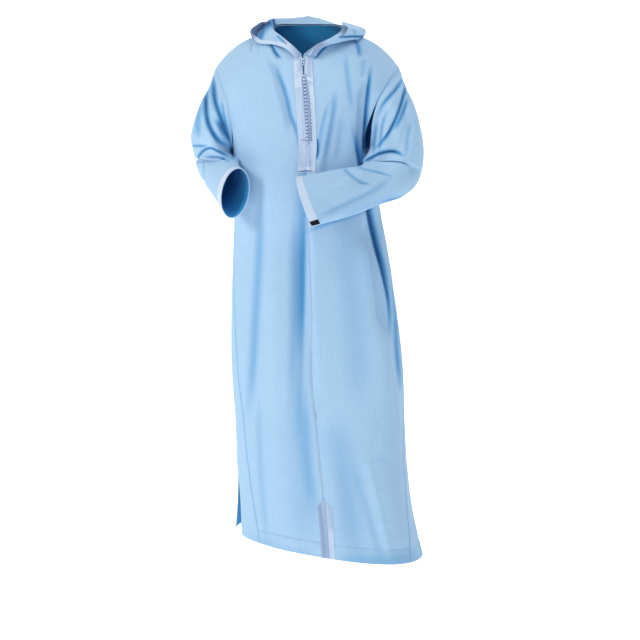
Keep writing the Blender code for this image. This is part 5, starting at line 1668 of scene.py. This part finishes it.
class THOBE_OT_slit_facings(bpy.types.Operator):
    """Pointed facing on both sides of the front slit"""

    bl_idname = "thobe.slit_facings"
    bl_label = "Slit facings"

    def execute(self, context):
        skins = looks(context)
        rows = slice(0, skirt_row(SLIT_TOP_Z) + 1)
        for side in SIDES:
            sheet, away = front_cloth(side)
            strip, out = strip_on(sheet[rows], away[rows], BRAID_START, SLIT_FACING_WIDTH)
            up = running(strip.mean(axis=1, keepdims=True), 0)[:, 0]
            share = np.clip((up[-1] - up) / FACING_POINT, 0.03, 1)
            strip, out = facing_pair(*(narrowed(part, share) for part in (strip, out)))
            lay_trim("slit_facing_satin_" + side, [(strip, out, shade(strip, FACING_SHADES))],
                     skins["facing"], "grey_facing", "slit_facing_" + side, lift=BAND_LIFT)
        return {"FINISHED"}


class THOBE_OT_cuffs(bpy.types.Operator):
    """Braid bands round both cuffs, and the plain ribbon tag"""

    bl_idname = "thobe.cuffs"
    bl_label = "Cuff braid and tag"

    def execute(self, context):
        skins = looks(context)
        for side in SIDES:
            sheet, out, _ = sleeve_grid(side)
            back = running(sheet.mean(axis=1, keepdims=True)[::-1], 0)[::-1, 0]
            first = int(np.argmax(back < CUFF_WIDTH))
            band, away = sheet[first:], out[first:]
            lay_trim("cuff_braid_" + side, [(band, away)], skins["braid"],
                     "silver_braid", "cuff_" + side, lift=CUFF_LIFT, closed=True)
            if side == "left":
                self.tag(band, away, skins)
        return {"FINISHED"}

    def tag(self, band, away, skins):
        """Ribbon tag on the left cuff band above its lower edge, left bare."""
        low = int(np.argmin(band[-1, :, 2]))
        step = 1 if band[-1, low + 1, 1] < band[-1, low - 1, 1] else -1
        columns = (low + step * np.linspace(*TAG_REACH, 16) * SLEEVE_SIDES) % SLEEVE_SIDES
        first = np.floor(columns).astype(int)
        share = (columns - first)[None, :, None]
        grid, out = (part[:, first] * (1 - share) + part[:, (first + 1) % SLEEVE_SIDES] * share
                     for part in (band, away))
        lay_trim("cuff_ribbon_tag", [facing_pair(grid, out)], skins["ribbon"],
                 "black_ribbon", "cuff_tag", lift=TAG_LIFT, thickness=TAG_THICK)


class THOBE_OT_stage(bpy.types.Operator):
    """Pale floor sweep, soft lights and the camera"""

    bl_idname = "thobe.stage"
    bl_label = "Stage"

    def execute(self, context):
        curve = path(SWEEP, np.linspace(0, 1, 60))
        grid = np.array([[(x, y, z + FLOOR_Z) for x in np.linspace(-14, 14, 8)] for y, z in curve])
        piece = Cloth()
        piece.add(grid, normals_of(grid))
        # The sweep glows a little, as white paper lit from behind does.
        paper, tree, shader = new_finish("paper_sweep_lit", linear("FAFAFA"), 0.9,
                                         Emission_Strength=PAPER_GLOW, Emission_Color=(1, 1, 1, 1))
        tooth = add_node(tree, "ShaderNodeTexNoise", None, {"Scale": 300.0, "Detail": 2.0}).outputs["Fac"]
        bump = add_node(tree, "ShaderNodeBump", None,
                        {"Strength": 0.05, "Distance": 0.0005, "Height": tooth})
        tree.links.new(bump.outputs[0], shader.inputs["Normal"])
        piece.make("floor_sweep", (paper,), 0.004, -0.002)
        for softbox in SOFTBOXES:
            self.light(*softbox)
        world = bpy.data.worlds.get("studio_white") or bpy.data.worlds.new("studio_white")
        world.use_nodes = True
        back = world.node_tree.nodes["Background"]
        back.inputs["Color"].default_value = WORLD_COLOUR
        back.inputs["Strength"].default_value = WORLD_STRENGTH
        context.scene.world = world
        data = bpy.data.cameras.new("photo_camera")
        data.sensor_width = SENSOR_MM
        data.lens = FOCAL_PIXELS / FRAME_PIXELS * SENSOR_MM
        camera = bpy.data.objects.new("photo_camera", data)
        camera.location = CAMERA_PLACE
        camera.rotation_euler = (math.radians(90 - CAMERA_DIP), 0, 0)
        context.scene.collection.objects.link(camera)
        context.scene.camera = camera
        context.scene.view_settings.view_transform = "Standard"
        return {"FINISHED"}

    def light(self, name, place, aim, size, power, colour):
        """Round softbox that shines from its place to its aim."""
        data = bpy.data.lights.new(name, "AREA")
        data.shape = "DISK"
        data.size = size
        data.energy = power
        data.color = colour
        lamp = bpy.data.objects.new(name, data)
        lamp.location = place
        lamp.rotation_euler = (Vector(aim) - Vector(place)).to_track_quat("-Z", "Y").to_euler()
        bpy.context.scene.collection.objects.link(lamp)


STEPS = (THOBE_OT_stage, THOBE_OT_body, THOBE_OT_sleeves, THOBE_OT_hood, THOBE_OT_placket,
         THOBE_OT_knots, THOBE_OT_seam_cord, THOBE_OT_topstitching, THOBE_OT_slit_facings, THOBE_OT_cuffs)


class THOBE_PT_panel(bpy.types.Panel):
    """Settings and steps of the garment"""

    bl_idname = "THOBE_PT_panel"
    bl_label = "Hooded thobe"
    bl_space_type = "VIEW_3D"
    bl_region_type = "UI"
    bl_category = "Thobe"

    def draw(self, context):
        for name in ThobeSettings.__annotations__:
            self.layout.prop(context.scene.thobe, name)
        for step in STEPS:
            self.layout.operator(step.bl_idname)


CLASSES = (ThobeSettings, *STEPS, THOBE_PT_panel)


def register():
    for kind in CLASSES:
        bpy.utils.register_class(kind)
    bpy.types.Scene.thobe = bpy.props.PointerProperty(type=ThobeSettings)


def unregister():
    del bpy.types.Scene.thobe
    for kind in reversed(CLASSES):
        bpy.utils.unregister_class(kind)


def main():
    """Build every piece in order."""
    register()
    for step in STEPS:
        group, name = step.bl_idname.split(".")
        getattr(getattr(bpy.ops, group), name)()


if __name__ == "__main__":
    main()
